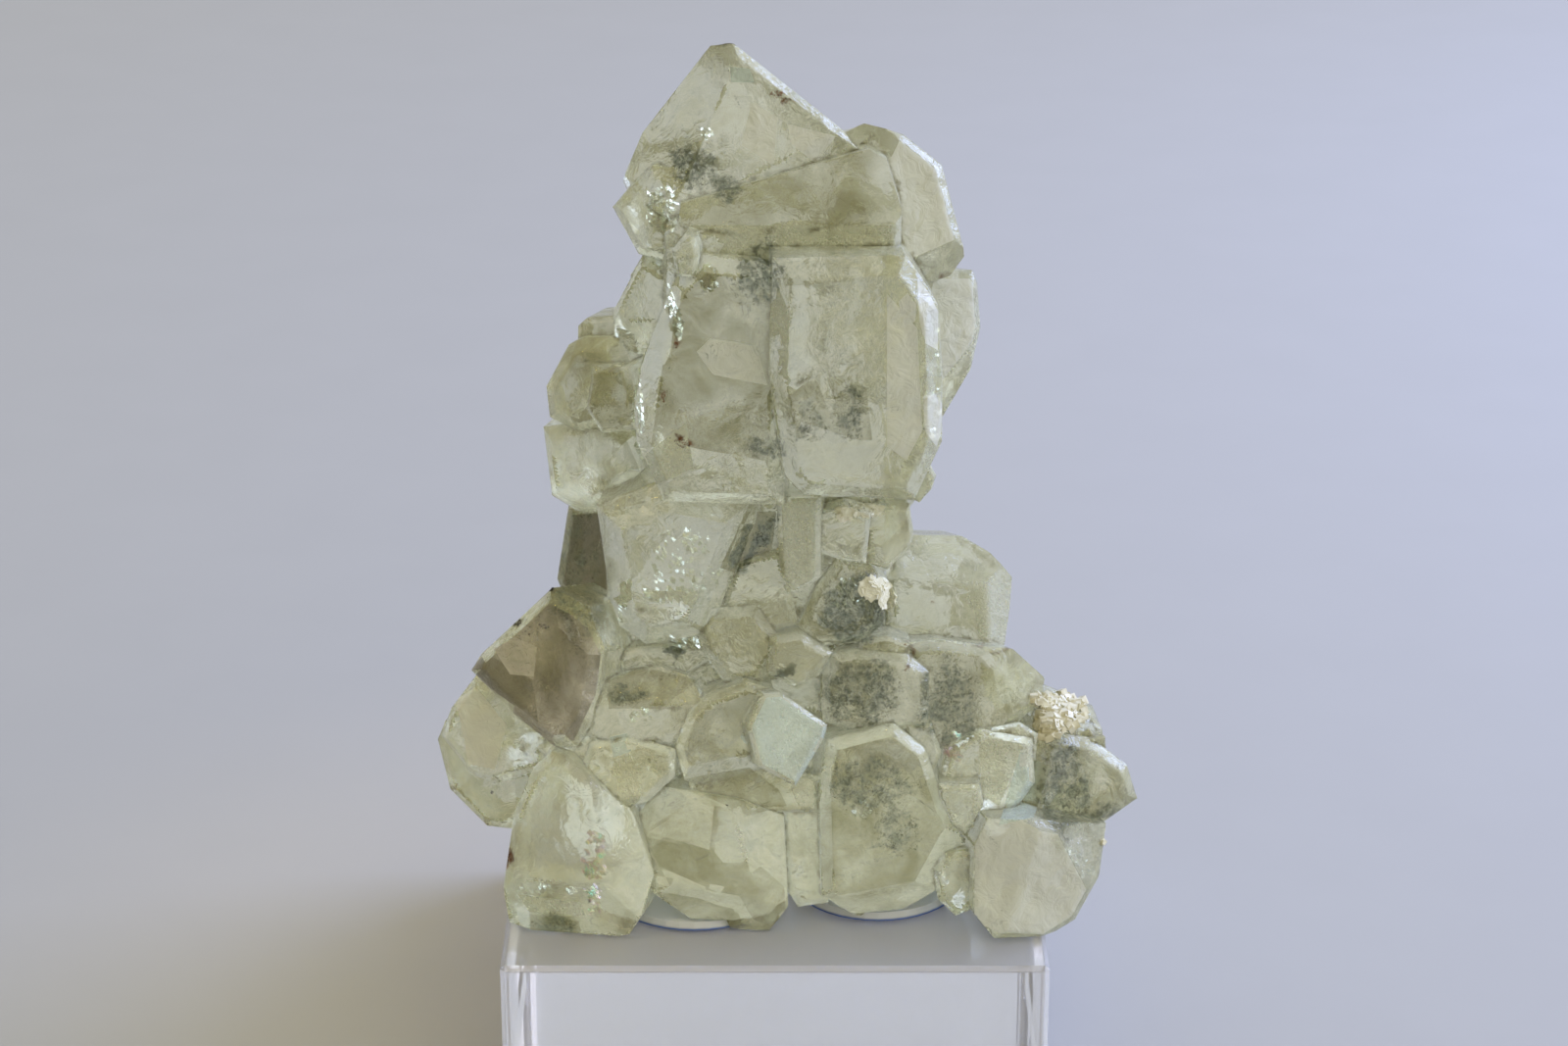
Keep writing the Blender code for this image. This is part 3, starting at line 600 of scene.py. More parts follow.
@dataclass(frozen=True)
class FluoriteFinish:
    """Pale green fluorite with growth faces that the vein etched.

    Fluorite bends light little, so a clear crystal looks soft and watery. Its colour is a
    tint in the depth, and its faces have a fine relief of etch pits that blurs the inside.
    """
    name: str
    transmission: float = 0.76
    roughness: float = 0.12
    body: str = "#fbfbe0"
    # the pale crystal's colour, also used as painted light on lit faces
    milk: str = "#fcfeec"
    shade: str = "#aaa67c"
    # the dust's colour, also used as painted shade in the gaps between the slabs
    soot: str = "#888e78"
    grit: str = "#464b3b"
    mottle: float = 0.35          # how far the pits darken
    mottle_levels: tuple[float, float] = (0.52, 0.72)   # of the pits' pattern
    veil: float = 0.45            # how dark the thin veils of dust are
    veil_width: float = 0.012     # as a share of the pits' height
    grit_size: float = 0.35       # millimetres
    rust: str = "#6f3d12"
    # the painted shade in the grooves between crystals
    seam: str = "#969070"
    tint: str = "#d4d8b2"         # the light that a crystal keeps as its depth grows
    density: float = 4.0          # per metre
    ior: float = 1.434
    pit_size: float = 2.0         # millimetres
    pit_depth: float = 0.24
    step_size: float = 3.2        # of the low blocky steps that break up a face
    step_depth: float = 0.45
    zone_size: float = 5.0        # of the areas with and without steps and veils
    zone_levels: tuple[float, float] = (0.42, 0.58)     # from smooth to broken
    zone_tone: float = 2.6        # how far the tone follows the areas
    blotch_size: float = 1.1
    stain_levels: tuple[float, float] = (0.74, 1.0)     # where a thin stain starts and fills
    grit_levels: tuple[float, float] = (0.90, 1.0)

    def grow_body(self, tree: bpy.types.NodeTree, pits: bpy.types.Node, zone: bpy.types.Node,
                  broken: bpy.types.Node) -> bpy.types.NodeSocket:
        """Colour the clear crystal by its face's tone, with veils and dull pits.

        Args:
            tree: The material's node tree.
            pits: The pattern of the pits.
            zone: The areas that a face's tone strays over.
            broken: Where the areas are broken up by steps.

        Returns:
            The body's colour.
        """
        plate = add_node(tree, "ShaderNodeAttribute", {"attribute_name": "tone"})
        stray = add_node(tree, "ShaderNodeMath", {"operation": 'MULTIPLY_ADD'}, {
            0: zone, 1: self.zone_tone, 2: -0.5 * self.zone_tone})
        tone = add_node(tree, "ShaderNodeMath", {"operation": 'ADD'}, {
            0: plate.outputs["Fac"], 1: stray})
        pale, dull = (add_node(tree, "ShaderNodeMapRange", inputs={
            "Value": tone, "From Max": full}) for full in (1.0, -1.0))
        away = add_node(tree, "ShaderNodeMath", {"operation": 'SUBTRACT'}, {0: pits, 1: 0.5})
        gap = add_node(tree, "ShaderNodeMath", {"operation": 'ABSOLUTE'}, {0: away})
        line = add_node(tree, "ShaderNodeMapRange", inputs={
            "Value": gap, "From Min": self.veil_width / 4, "From Max": self.veil_width,
            "To Min": self.veil, "To Max": 0.0})
        veil = add_node(tree, "ShaderNodeMath", {"operation": 'MULTIPLY'}, {
            0: line, 1: broken})
        low, high = self.mottle_levels
        mottle = add_node(tree, "ShaderNodeMapRange", inputs={
            "Value": pits, "From Min": low, "From Max": high, "To Max": self.mottle})
        colour = linear(self.body)
        for share, code in ((pale, self.milk), (dull, self.shade), (veil, self.grit),
                            (mottle, self.shade)):
            colour = add_node(tree, "ShaderNodeMix", {"data_type": 'RGBA'}, {
                0: share, 6: colour, 7: linear(code)}).outputs[2]
        return colour

    def stain(self, tree: bpy.types.NodeTree, place: bpy.types.NodeSocket,
              blotch: bpy.types.Node, colour: bpy.types.NodeSocket) -> bpy.types.NodeSocket:
        """Lay the stains and the painted shade over the body, the thin ones in blotches, and the
        grit on top.

        Args:
            tree: The material's node tree.
            place: The place on the crystal.
            blotch: The pattern of the blotches.
            colour: The body's colour.

        Returns:
            The stained colour.
        """
        painted = {stain: add_node(tree, "ShaderNodeAttribute", {
            "attribute_name": stain.value}).outputs["Fac"]
            for stain in Stain if stain is not Stain.FROST_AND_HIGHLIGHT}
        # The groove shade is painted shade along the grooves; the soot also paints shade in the
        # gaps between the slabs.
        for stain, code in ((Stain.MILK_AND_LIGHT, self.milk), (Stain.SHADE, self.shade),
                            (Stain.SEAM, self.seam), (Stain.SOOT_AND_SHADE, self.soot),
                            (Stain.RUST, self.rust)):
            share = painted[stain]
            if stain not in (Stain.MILK_AND_LIGHT, Stain.SHADE):
                low, high = self.stain_levels
                lifted = add_node(tree, "ShaderNodeMath", {"operation": 'MULTIPLY_ADD'}, {
                    0: share, 1: 0.4, 2: blotch})
                share = add_node(tree, "ShaderNodeMapRange", inputs={
                    "Value": lifted, "From Min": low, "From Max": high})
            colour = add_node(tree, "ShaderNodeMix", {"data_type": 'RGBA'}, {
                0: share, 6: colour, 7: linear(code)}).outputs[2]
        grit = add_node(tree, "ShaderNodeTexNoise", inputs={
            "Vector": place, "Scale": 1 / (self.grit_size * MM), "Detail": 2.0})
        raised = add_node(tree, "ShaderNodeMath", {"operation": 'MULTIPLY_ADD'}, {
            0: painted[Stain.SOOT_AND_SHADE], 1: 0.22, 2: grit})
        lifted = add_node(tree, "ShaderNodeMath", {"operation": 'MULTIPLY_ADD'}, {
            0: blotch, 1: 0.35, 2: raised})
        low, high = self.grit_levels
        specks = add_node(tree, "ShaderNodeMapRange", inputs={
            "Value": lifted, "From Min": low, "From Max": high, "To Max": 0.6})
        return add_node(tree, "ShaderNodeMix", {"data_type": 'RGBA'}, {
            0: specks, 6: colour, 7: linear(self.grit)}).outputs[2]

    def make(self) -> bpy.types.Material:
        """Make the material.

        Returns:
            The material, for one of the crystal cluster's slots.
        """
        material, tree, shader = new_material(self.name)
        shader.inputs["IOR"].default_value = self.ior
        shader.inputs["Transmission Weight"].default_value = self.transmission
        place = add_node(tree, "ShaderNodeTexCoord").outputs["Object"]
        blotch = add_node(tree, "ShaderNodeTexNoise", inputs={
            "Vector": place, "Scale": 1 / (self.blotch_size * MM), "Detail": 4.0,
            "Roughness": 0.65})
        pits = add_node(tree, "ShaderNodeTexNoise", inputs={
            "Vector": place, "Scale": 1 / (self.pit_size * MM), "Detail": 3.0,
            "Roughness": 0.6, "Distortion": 1.2})
        zone = add_node(tree, "ShaderNodeTexNoise", inputs={
            "Vector": place, "Scale": 1 / (self.zone_size * MM), "Detail": 4.0,
            "Roughness": 0.6, "Distortion": 0.8})
        low, high = self.zone_levels
        broken = add_node(tree, "ShaderNodeMapRange", inputs={
            "Value": zone, "From Min": low, "From Max": high})
        body = self.grow_body(tree, pits, zone, broken)
        tree.links.new(self.stain(tree, place, blotch, body), shader.inputs["Base Color"])
        rough = add_node(tree, "ShaderNodeMapRange", inputs={
            "Value": blotch, "From Min": 0.3, "From Max": 0.7,
            "To Min": self.roughness * 0.6, "To Max": self.roughness * 1.6})
        tree.links.new(rough.outputs[0], shader.inputs["Roughness"])
        turned = add_node(tree, "ShaderNodeMapping", inputs={
            "Vector": place, "Rotation": GROWTH_TURN})
        steps = add_node(tree, "ShaderNodeTexVoronoi", {"distance": 'CHEBYCHEV'}, {
            "Vector": turned, "Scale": 1 / (self.step_size * MM)})
        blocky = add_node(tree, "ShaderNodeBump", inputs={
            "Strength": broken, "Distance": self.step_depth * MM,
            "Height": steps.outputs["Distance"]})
        relief = add_node(tree, "ShaderNodeBump", inputs={
            "Distance": self.pit_depth * MM, "Height": pits, "Normal": blocky})
        tree.links.new(relief.outputs[0], shader.inputs["Normal"])
        volume = add_node(tree, "ShaderNodeVolumeAbsorption")
        volume.inputs["Color"].default_value = linear(self.tint)
        volume.inputs["Density"].default_value = self.density
        tree.links.new(volume.outputs[0], tree.nodes["Material Output"].inputs["Volume"])
        return material


@dataclass
class CrystalCluster:
    """The tower of intergrown crystals, with the relief of its growth on every face.

    Sizes are in millimetres and angles in degrees.
    """
    view: Viewpoint
    node: str = "crystal_cluster"
    edge_length: float = 1.42     # of the fine mesh
    rounds: int = 7               # of halving
    edge_rounds: int = 1          # of halving again beside the ridges
    flat_angle: float = 0.5
    sharp_angle: float = 14.0
    edge_step: float = 0.25       # between the points that stand for a sharp edge
    edge_worn: float = 0.06       # sunk along a ridge, easing out over edge_reach
    edge_reach: float = 0.5
    terrace_at: tuple[float, ...] = (1.5, 3.4)          # from the edges inwards
    terrace_height: float = 0.11
    terrace_rise: float = 0.5
    terrace_stray: float = 1.3    # how far a terrace's rim wanders, in bends of stray_size
    stray_size: float = 2.4
    wave_height: float = 0.06
    wave_length: float = 4.5
    wave_reach: float = 1.0       # over which the waves grow from an edge
    facet_size: float = 5.0       # of the low facets that break up the larger faces
    facet_height: float = 0.35
    facet_reach: tuple[float, float] = (0.3, 2.0)       # over which they grow from an edge
    groove_shade_reach: float = 0.8       # of the painted shade beside a groove
    worn_reach: float = 0.5       # of the whitish wear beside a ridge
    worn_patch: float = 6.0
    worn_levels: tuple[float, float] = (-0.1, 0.3)      # of the patches' noise
    frost_limit: float = 0.55     # the weight from which a face is frosted
    frost_stray: float = 0.35     # how far the limit wanders, in bends of frost_patch
    frost_patch: float = 2.5
    mark_stray: float = 14.0      # pixels that a mark's rim wanders, in bends of mark_bend
    mark_bend: float = 2.2
    mark_seed: int = 9            # of the wandering, the same in every run
    seen_gap: float = 0.6         # how far behind the surface a point still counts as seen
    pane_probes: tuple[float, ...] = (0.0, 0.5, 0.9)    # from a pane's middle to its corners
    plain_tones: tuple[float, float] = (-0.35, 0.35)    # of the faces that no facet names

    def fine_mesh(self) -> bmesh.types.BMesh:
        """Copy the node's mesh, merged, and divide it until its edges are short.

        What is gathered here keeps its order, so that every run gives the same mesh.

        Returns:
            The fine mesh, in metres.
        """
        bm = bmesh.new()
        bm.from_mesh(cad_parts[self.node].data)
        bmesh.ops.remove_doubles(bm, verts=bm.verts, dist=0.001 * MM)
        bmesh.ops.dissolve_limit(bm, angle_limit=math.radians(self.flat_angle),
                                 verts=bm.verts, edges=bm.edges)
        growth = bm.faces.layers.int.new("growth")
        plate = bm.faces.layers.int.new("plate")
        for number, face in enumerate(bm.faces):
            face[growth] = face[plate] = number
        self.cut_panes(bm)
        bmesh.ops.triangulate(bm, faces=bm.faces)
        length = self.edge_length * MM
        for _ in range(self.rounds):
            long = [edge for edge in bm.edges if edge.calc_length() > length]
            if not long:
                break
            bmesh.ops.subdivide_edges(bm, edges=long, cuts=1)
            bmesh.ops.triangulate(bm, faces=[f for f in bm.faces if len(f.verts) > 3])
        sharp = math.radians(self.sharp_angle)
        for _ in range(self.edge_rounds):
            corners = dict.fromkeys(corner for edge in bm.edges for corner in edge.verts
                                    if edge.is_convex and edge.calc_face_angle(0.0) > sharp)
            near = dict.fromkeys(edge for corner in corners for edge in corner.link_edges)
            bmesh.ops.subdivide_edges(bm, edges=list(near), cuts=1)
            bmesh.ops.triangulate(bm, faces=[f for f in bm.faces if len(f.verts) > 3])
        bmesh.ops.recalc_face_normals(bm, faces=bm.faces)
        return bm

    def cut_panes(self, bm: bmesh.types.BMesh) -> None:
        """Cut the mesh along the panes' outlines and give each pane a plate of its own.

        Args:
            bm: The mesh, whose faces are numbered by plate.
        """
        plate = bm.faces.layers.int["plate"]
        eye = Vector(self.view.place) * MM
        first = len(bm.faces)
        for number, pane in enumerate(PANES):
            bm.faces.ensure_lookup_table()
            tree = BVHTree.FromBMesh(bm)
            middle = np.mean(pane.corners, axis=0)
            seen = set()
            for corner in pane.corners:
                for share in self.pane_probes:
                    index = tree.ray_cast(*self.view.ray(
                        tuple(middle + share * (np.array(corner) - middle))))[2]
                    if index is not None:
                        seen.add(index)
            part = [bm.faces[index] for index in sorted(seen)]
            geom = [*part, *dict.fromkeys(edge for face in part for edge in face.edges),
                    *dict.fromkeys(vert for face in part for vert in face.verts)]
            for start, end in zip(pane.corners, pane.corners[1:] + pane.corners[:1]):
                across = self.view.ray(start)[1].cross(self.view.ray(end)[1])
                geom = bmesh.ops.bisect_plane(bm, geom=geom, plane_co=eye,
                                              plane_no=across.normalized())["geom"]
            part = [piece for piece in geom if isinstance(piece, bmesh.types.BMFace)]
            centres = np.array([face.calc_center_median() for face in part]).reshape(-1, 3)
            for index in np.flatnonzero(pane.holds(self.view.project(centres))):
                part[index][plate] = first + number

    def edge_distances(self, bm: bmesh.types.BMesh) -> tuple[np.ndarray, np.ndarray]:
        """Measure how far each vertex is from the sharp edges.

        Args:
            bm: The fine mesh.

        Returns:
            The distances to the nearest ridge and to the nearest groove, in millimetres.
        """
        sharp = math.radians(self.sharp_angle)
        points: dict[bool, list[Vector]] = {True: [], False: []}
        for edge in bm.edges:
            if edge.calc_face_angle(0.0) > sharp:
                start, end = (corner.co for corner in edge.verts)
                steps = max(1, round(edge.calc_length() / (self.edge_step * MM)))
                points[edge.is_convex] += [start.lerp(end, step / steps)
                                           for step in range(steps + 1)]
        found = []
        for ridge in (True, False):
            tree = KDTree(len(points[ridge]))
            for number, point in enumerate(points[ridge]):
                tree.insert(point, number)
            tree.balance()
            found.append(np.array([tree.find(vert.co)[2] for vert in bm.verts]) / MM)
        return found[0], found[1]

    def raise_relief(self, bm: bmesh.types.BMesh, ridge: np.ndarray,
                     groove: np.ndarray) -> None:
        """Lift the growth terraces, sink the worn edges and make the faces slightly wavy.

        Args:
            bm: The fine mesh.
            ridge: Each vertex's distance to the nearest ridge.
            groove: Each vertex's distance to the nearest groove.
        """
        bm.normal_update()
        nearest = np.minimum(ridge, groove)
        stray = np.array([noise.noise(vert.co / (self.stray_size * MM)) for vert in bm.verts])
        wave = np.array([noise.noise(vert.co / (self.wave_length * MM)) for vert in bm.verts])
        tip = Euler(GROWTH_TURN).to_matrix() * (1.0 / (self.facet_size * MM))
        facet = np.array([noise.voronoi(tip @ vert.co, distance_metric='CHEBYCHEV')[0][0]
                          for vert in bm.verts])
        height = self.wave_height * wave * smoothstep(0.0, self.wave_reach, nearest)
        height -= self.facet_height * facet * smoothstep(*self.facet_reach, nearest)
        for place in self.terrace_at:
            reach = nearest + self.terrace_stray * stray
            height += self.terrace_height * smoothstep(place, place + self.terrace_rise, reach)
        height -= self.edge_worn * (1.0 - smoothstep(0.0, self.edge_reach, ridge))
        for vert, lift in zip(bm.verts, height):
            vert.co += vert.normal * float(lift) * MM

    def weigh_stains(self, mesh: bpy.types.Mesh, tree: BVHTree, ridge: np.ndarray,
                     groove: np.ndarray) -> dict[Stain, np.ndarray]:
        """Weigh the stains and the painted shade at each vertex.

        Args:
            mesh: The finished mesh.
            tree: The same mesh, for casting rays.
            ridge: Each vertex's distance to the nearest ridge.
            groove: Each vertex's distance to the nearest groove.

        Returns:
            The weights, by stain.
        """
        places = np.empty(len(mesh.vertices) * 3)
        mesh.vertices.foreach_get("co", places)
        places = places.reshape(-1, 3)
        pixels = self.view.project(places)
        noise.seed_set(self.mark_seed)
        pixels += self.mark_stray * np.array(
            [noise.noise_vector(Vector(place) / (self.mark_bend * MM))[:2]
             for place in places])
        eye = Vector(self.view.place) * MM
        seen = np.zeros(len(places))
        for number, place in enumerate(places):
            away = Vector(place) - eye
            hit = tree.ray_cast(eye, away.normalized())
            seen[number] = hit[0] is not None and hit[3] > away.length - self.seen_gap * MM
        weights = {stain: np.zeros(len(places)) for stain in Stain}
        for stain, marks in MARKS.items():
            for mark in marks:
                weights[stain] = np.maximum(weights[stain], mark.weigh(pixels) * seen)
        # Painted shade: darker close to the grooves between crystals.
        weights[Stain.SEAM] = 1.0 - smoothstep(0.0, self.groove_shade_reach, groove)
        wear = np.array([noise.noise(Vector(place) / (self.worn_patch * MM))
                         for place in places])
        wear = smoothstep(*self.worn_levels, wear)
        wear *= 1.0 - smoothstep(0.0, self.worn_reach, ridge)
        weights[Stain.FROST_AND_HIGHLIGHT] = np.maximum(weights[Stain.FROST_AND_HIGHLIGHT], wear)
        return weights

    def finish_faces(self, mesh: bpy.types.Mesh, tree: BVHTree, frost: np.ndarray) -> None:
        """Give each face its tone and its skin.

        Args:
            mesh: The finished mesh.
            tree: The same mesh, for casting rays.
            frost: Each vertex's weight of frost, which on the right slab's bevel is a painted
                highlight.
        """
        plates, growths = (np.empty(len(mesh.polygons), dtype=np.int32) for _ in range(2))
        mesh.attributes["plate"].data.foreach_get("value", plates)
        mesh.attributes["growth"].data.foreach_get("value", growths)
        chance = random.Random(3)
        first_pane = plates.max() + 1 - len(PANES)
        tones = np.array([chance.uniform(*self.plain_tones) for _ in range(first_pane)]
                         + [pane.tone for pane in PANES])
        skins = {first_pane + number: pane.skin for number, pane in enumerate(PANES)}
        for facet in FACETS:
            index = tree.ray_cast(*self.view.ray(facet.pixel))[2]
            if index is None:
                LOG.info("no face at %s", facet.pixel)
                continue
            growth = int(growths[index])
            tones[growth] = facet.tone
            skins[growth] = facet.skin
        for face, plate in zip(mesh.polygons, plates):
            bend = noise.noise(Vector(face.center) / (self.frost_patch * MM))
            limit = self.frost_limit + self.frost_stray * bend
            share = sum(frost[vert] for vert in face.vertices) / 3.0
            skin = skins.get(plate, Skin.ETCHED)
            if share > limit and skin is Skin.ETCHED:
                skin = Skin.FROSTED
            face.material_index = skin.value
        layer = mesh.attributes.new("tone", 'FLOAT', 'FACE')
        layer.data.foreach_set("value", tones[plates].astype(np.float32))

    def build(self) -> tuple[bpy.types.Object, BVHTree]:
        """Build the piece that stands for the cluster.

        Returns:
            The piece, and its surface for casting rays.
        """
        bm = self.fine_mesh()
        ridge, groove = self.edge_distances(bm)
        self.raise_relief(bm, ridge, groove)
        mesh = bpy.data.meshes.new("crystals")
        bm.to_mesh(mesh)
        surface = BVHTree.FromBMesh(bm)
        bm.free()
        mesh.shade_smooth()
        mesh.set_sharp_from_angle(angle=math.radians(self.sharp_angle))
        skins = (FluoriteFinish("etched_fluorite"),
                 FluoriteFinish("frosted_fluorite", transmission=0.62, roughness=0.25,
                                pit_size=0.5, pit_depth=0.14, mottle=0.12),
                 FluoriteFinish("pearly_fluorite", transmission=0.55, roughness=0.22,
                                body="#eef8f1", milk="#ebf9f4", pit_size=0.8, pit_depth=0.1,
                                mottle=0.08),
                 FluoriteFinish("milky_and_lit_fluorite", transmission=0.45, roughness=0.1,
                                body="#fbfce9", milk="#fbfdf6", mottle=0.2),
                 FluoriteFinish("smoky_fluorite", transmission=0.7, roughness=0.08,
                                body="#f0e9dc", milk="#faf4ea", shade="#9a937f",
                                tint="#dcd6bf"))
        for skin in skins:
            mesh.materials.append(skin.make())
        weights = self.weigh_stains(mesh, surface, ridge, groove)
        self.finish_faces(mesh, surface, weights.pop(Stain.FROST_AND_HIGHLIGHT))
        for stain, values in weights.items():
            layer = mesh.attributes.new(stain.value, 'FLOAT', 'POINT')
            layer.data.foreach_set("value", values.astype(np.float32))
        piece = new_object("crystals", mesh)
        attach(piece, ROOT)
        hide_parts(self.node)
        LOG.info("%s: %d faces", piece.name, len(mesh.polygons))
        return piece, surface


# ---------------------------------------------------------------------------
# grains and flakes in and on the crystals
# ---------------------------------------------------------------------------

@dataclass(frozen=True)
class Cloud:
    """A cloud of grains behind an ellipse of the front.

    The centre and the radii are pixels, the grain's size and the depths below the face are
    millimetres, and the turn is in degrees.
    """
    centre: Pixel
    radii: Pixel
    count: int
    grain: tuple[float, float] = (0.09, 0.22)
    turn: float = 0.0
    depths: tuple[float, float] = (1.0, 4.0)


@dataclass(frozen=True)
class Patch(Cloud):
    """A cloud of grains on the face itself."""
    depths: tuple[float, float] = (0.0, 0.0)


DARK_CLOUDS: tuple[Cloud, ...] = (
    Cloud((705, 168), (24, 26), 500),
    Cloud((740, 192), (20, 13), 300),
    Cloud((775, 278), (32, 34), 600, depths=(1.5, 4.0)),
    Cloud((866, 420), (18, 28), 700, depths=(1.5, 3.5)),
    Cloud((826, 436), (18, 13), 400, depths=(1.5, 3.5)),
    Cloud((848, 273), (20, 4), 160, depths=(1.0, 2.0)),
    Cloud((851, 295), (13, 5), 140, depths=(1.0, 2.0)),
    Cloud((782, 455), (24, 13), 400, turn=-15, depths=(1.5, 4.0)),
    # Painted shade: dark grains in the hollow between the slabs.
    Cloud((770, 558), (13, 44), 700, turn=-40),
    Cloud((620, 408), (26, 36), 400),
    Cloud((590, 590), (28, 76), 1200, depths=(0.6, 5.0)),
    Cloud((872, 622), (36, 40), 1300, depths=(0.6, 4.0)),
    Cloud((968, 716), (34, 48), 1700, depths=(1.2, 4.0)),
    Cloud((878, 704), (43, 38), 1700, depths=(1.2, 4.0)),
    Cloud((1085, 800), (30, 56), 1900),
    Cloud((1130, 832), (24, 12), 400, turn=-20),
    Cloud((890, 800), (52, 30), 1200, depths=(1.5, 5.0)),
    Cloud((915, 848), (24, 24), 500, depths=(1.5, 5.0)),
    Cloud((565, 946), (27, 14), 600, depths=(0.6, 3.0)),
    Cloud((562, 912), (34, 11), 300),
    Cloud((643, 711), (22, 10), 450, depths=(0.6, 3.0)),
    Cloud((672, 690), (18, 7), 200, depths=(0.6, 3.0)),
    Cloud((748, 948), (42, 8), 300, depths=(0.6, 3.0)),
    Cloud((560, 690), (46, 48), 300, depths=(1.0, 5.0)),
)

FLASHES: tuple[Cloud, ...] = (
    Cloud((676, 212), (16, 22), 140, (0.3, 0.9), 0, (0.4, 2.5)),
    Cloud((680, 229), (11, 6), 90, (0.4, 1.2), 0, (0.35, 1.5)),
    Cloud((723, 284), (11, 10), 90, (0.4, 1.1), 0, (0.35, 1.5)),
    Cloud((688, 318), (5, 28), 110, (0.4, 1.1), 12, (0.35, 1.5)),
    Cloud((652, 420), (6, 48), 120, (0.3, 1.0), 0, (0.35, 1.5)),
    Cloud((722, 135), (4, 9), 24, (0.3, 0.8), 0, (0.35, 1.5)),
    Cloud((700, 575), (34, 40), 120, (0.3, 0.9), -20, (0.8, 3.0)),
    Cloud((685, 606), (30, 8), 60, (0.4, 1.0), 0, (0.5, 2.0)),
    Cloud((692, 655), (24, 8), 60, (0.4, 1.0), 0, (0.5, 1.5)),
    Cloud((638, 612), (3, 22), 30, (0.3, 0.7), -8, (0.5, 1.5)),
    Cloud((950, 400), (8, 80), 100, (0.3, 0.9), 0, (0.5, 1.5)),
    Cloud((866, 606), (20, 18), 40, (0.3, 0.8), 0, (0.35, 1.0)),
    Cloud((1052, 676), (5, 5), 20, (0.3, 0.8), 0, (0.4, 1.0)),
    Cloud((1095, 880), (22, 10), 40, (0.3, 0.9), -30, (0.5, 2.0)),
    Cloud((880, 825), (10, 9), 30, (0.3, 0.8), 0, (0.5, 2.0)),
    Cloud((655, 730), (12, 8), 20, (0.3, 0.8), 0, (0.5, 2.0)),
    Cloud((668, 780), (8, 8), 20, (0.3, 0.8), 0, (0.5, 2.0)),
    Cloud((560, 905), (34, 4), 30, (0.3, 0.8), 0, (0.5, 2.0)),
)

RAINBOW: tuple[Cloud, ...] = (
    Cloud((606, 890), (11, 46), 90, (0.4, 1.0), 0, (0.6, 2.0)),
    Cloud((975, 760), (10, 14), 30, (0.4, 0.9), 0, (0.6, 2.0)),
)

RUST_SPECKS: tuple[Patch, ...] = (
    Patch((794, 96), (8, 4), 36, (0.15, 0.4)),
    Patch((812, 100), (14, 9), 14, (0.1, 0.2)),
    Patch((696, 452), (9, 4), 34, (0.15, 0.4), -25),
    Patch((690, 352), (1.5, 4), 10, (0.15, 0.3)),
    Patch((677, 405), (1.5, 6), 10, (0.15, 0.3)),
    Patch((925, 656), (4, 3), 10, (0.15, 0.3)),
    Patch((926, 682), (4, 3), 10, (0.15, 0.3)),
    Patch((1000, 656), (5, 2), 12, (0.15, 0.3)),
    Patch((1048, 664), (6, 3), 12, (0.15, 0.3), 30),
    Patch((519, 872), (3, 8), 24, (0.15, 0.35)),
    Patch((951, 614), (3, 1.5), 6, (0.15, 0.25)),
)

BLACK_SPECKS: tuple[Patch, ...] = (
    Patch((561, 598), (4, 5), 26, (0.3, 0.6)),
    Patch((527, 635), (5, 4), 22, (0.3, 0.6)),
    Patch((545, 642), (16, 4), 24, (0.2, 0.5), 15),
    Patch((502, 808), (1.5, 1.5), 4, (0.25, 0.4)),
    Patch((742, 822), (1, 2), 4, (0.15, 0.3)),
    Patch((753, 104), (1.5, 7), 12, (0.1, 0.2), 30),
)

CREAM_CRUST: tuple[Patch, ...] = (
    Patch((893, 600), (15, 11), 160, (0.5, 1.0)),
    Patch((905, 610), (8, 12), 90, (0.5, 0.9)),
    Patch((878, 520), (24, 6), 150, (0.5, 0.9)),
    Patch((862, 527), (6, 4), 40, (0.4, 0.8)),
)

DRUSE: tuple[Patch, ...] = (
    Patch((1085, 728), (34, 18), 150, (0.5, 1.3), 38),
    Patch((1066, 716), (14, 9), 50, (0.5, 1.1)),
    Patch((1135, 862), (12, 12), 30, (0.4, 0.9)),
)


class Lie(Enum):
    """How a grain lies."""
    TUMBLED = "tumbled"           # any way up
    FLAT = "flat"                 # flat on the face that carries it
    FLASHING = "flashing"         # turned so that it throws the window's light to the front


@dataclass(frozen=True)
class GrainFinish:
    """A grain's finish: its tones change from grain to grain."""
    name: str
    tones: tuple[str, ...]
    roughness: float = 0.8
    metallic: float = 0.0
    patch: float = 0.8            # millimetres between changes of tone

    def make(self) -> bpy.types.Material:
        """Make the material.

        Returns:
            The material, for one piece of grains.
        """
        material, tree, shader = new_material(self.name)
        place = add_node(tree, "ShaderNodeTexCoord").outputs["Object"]
        tone = add_node(tree, "ShaderNodeTexNoise", inputs={
            "Vector": place, "Scale": 1 / (self.patch * MM), "Detail": 1.0})
        ramp = add_node(tree, "ShaderNodeValToRGB", inputs={0: tone})
        stops = ramp.color_ramp.elements
        while len(stops) < len(self.tones):
            stops.new(0.5)
        for number, code in enumerate(self.tones):
            stops[number].position = 0.3 + 0.4 * number / (len(self.tones) - 1)
            stops[number].color = linear(code)
        tree.links.new(ramp.outputs[0], shader.inputs["Base Color"])
        shader.inputs["Roughness"].default_value = self.roughness
        shader.inputs["Metallic"].default_value = self.metallic
        return material


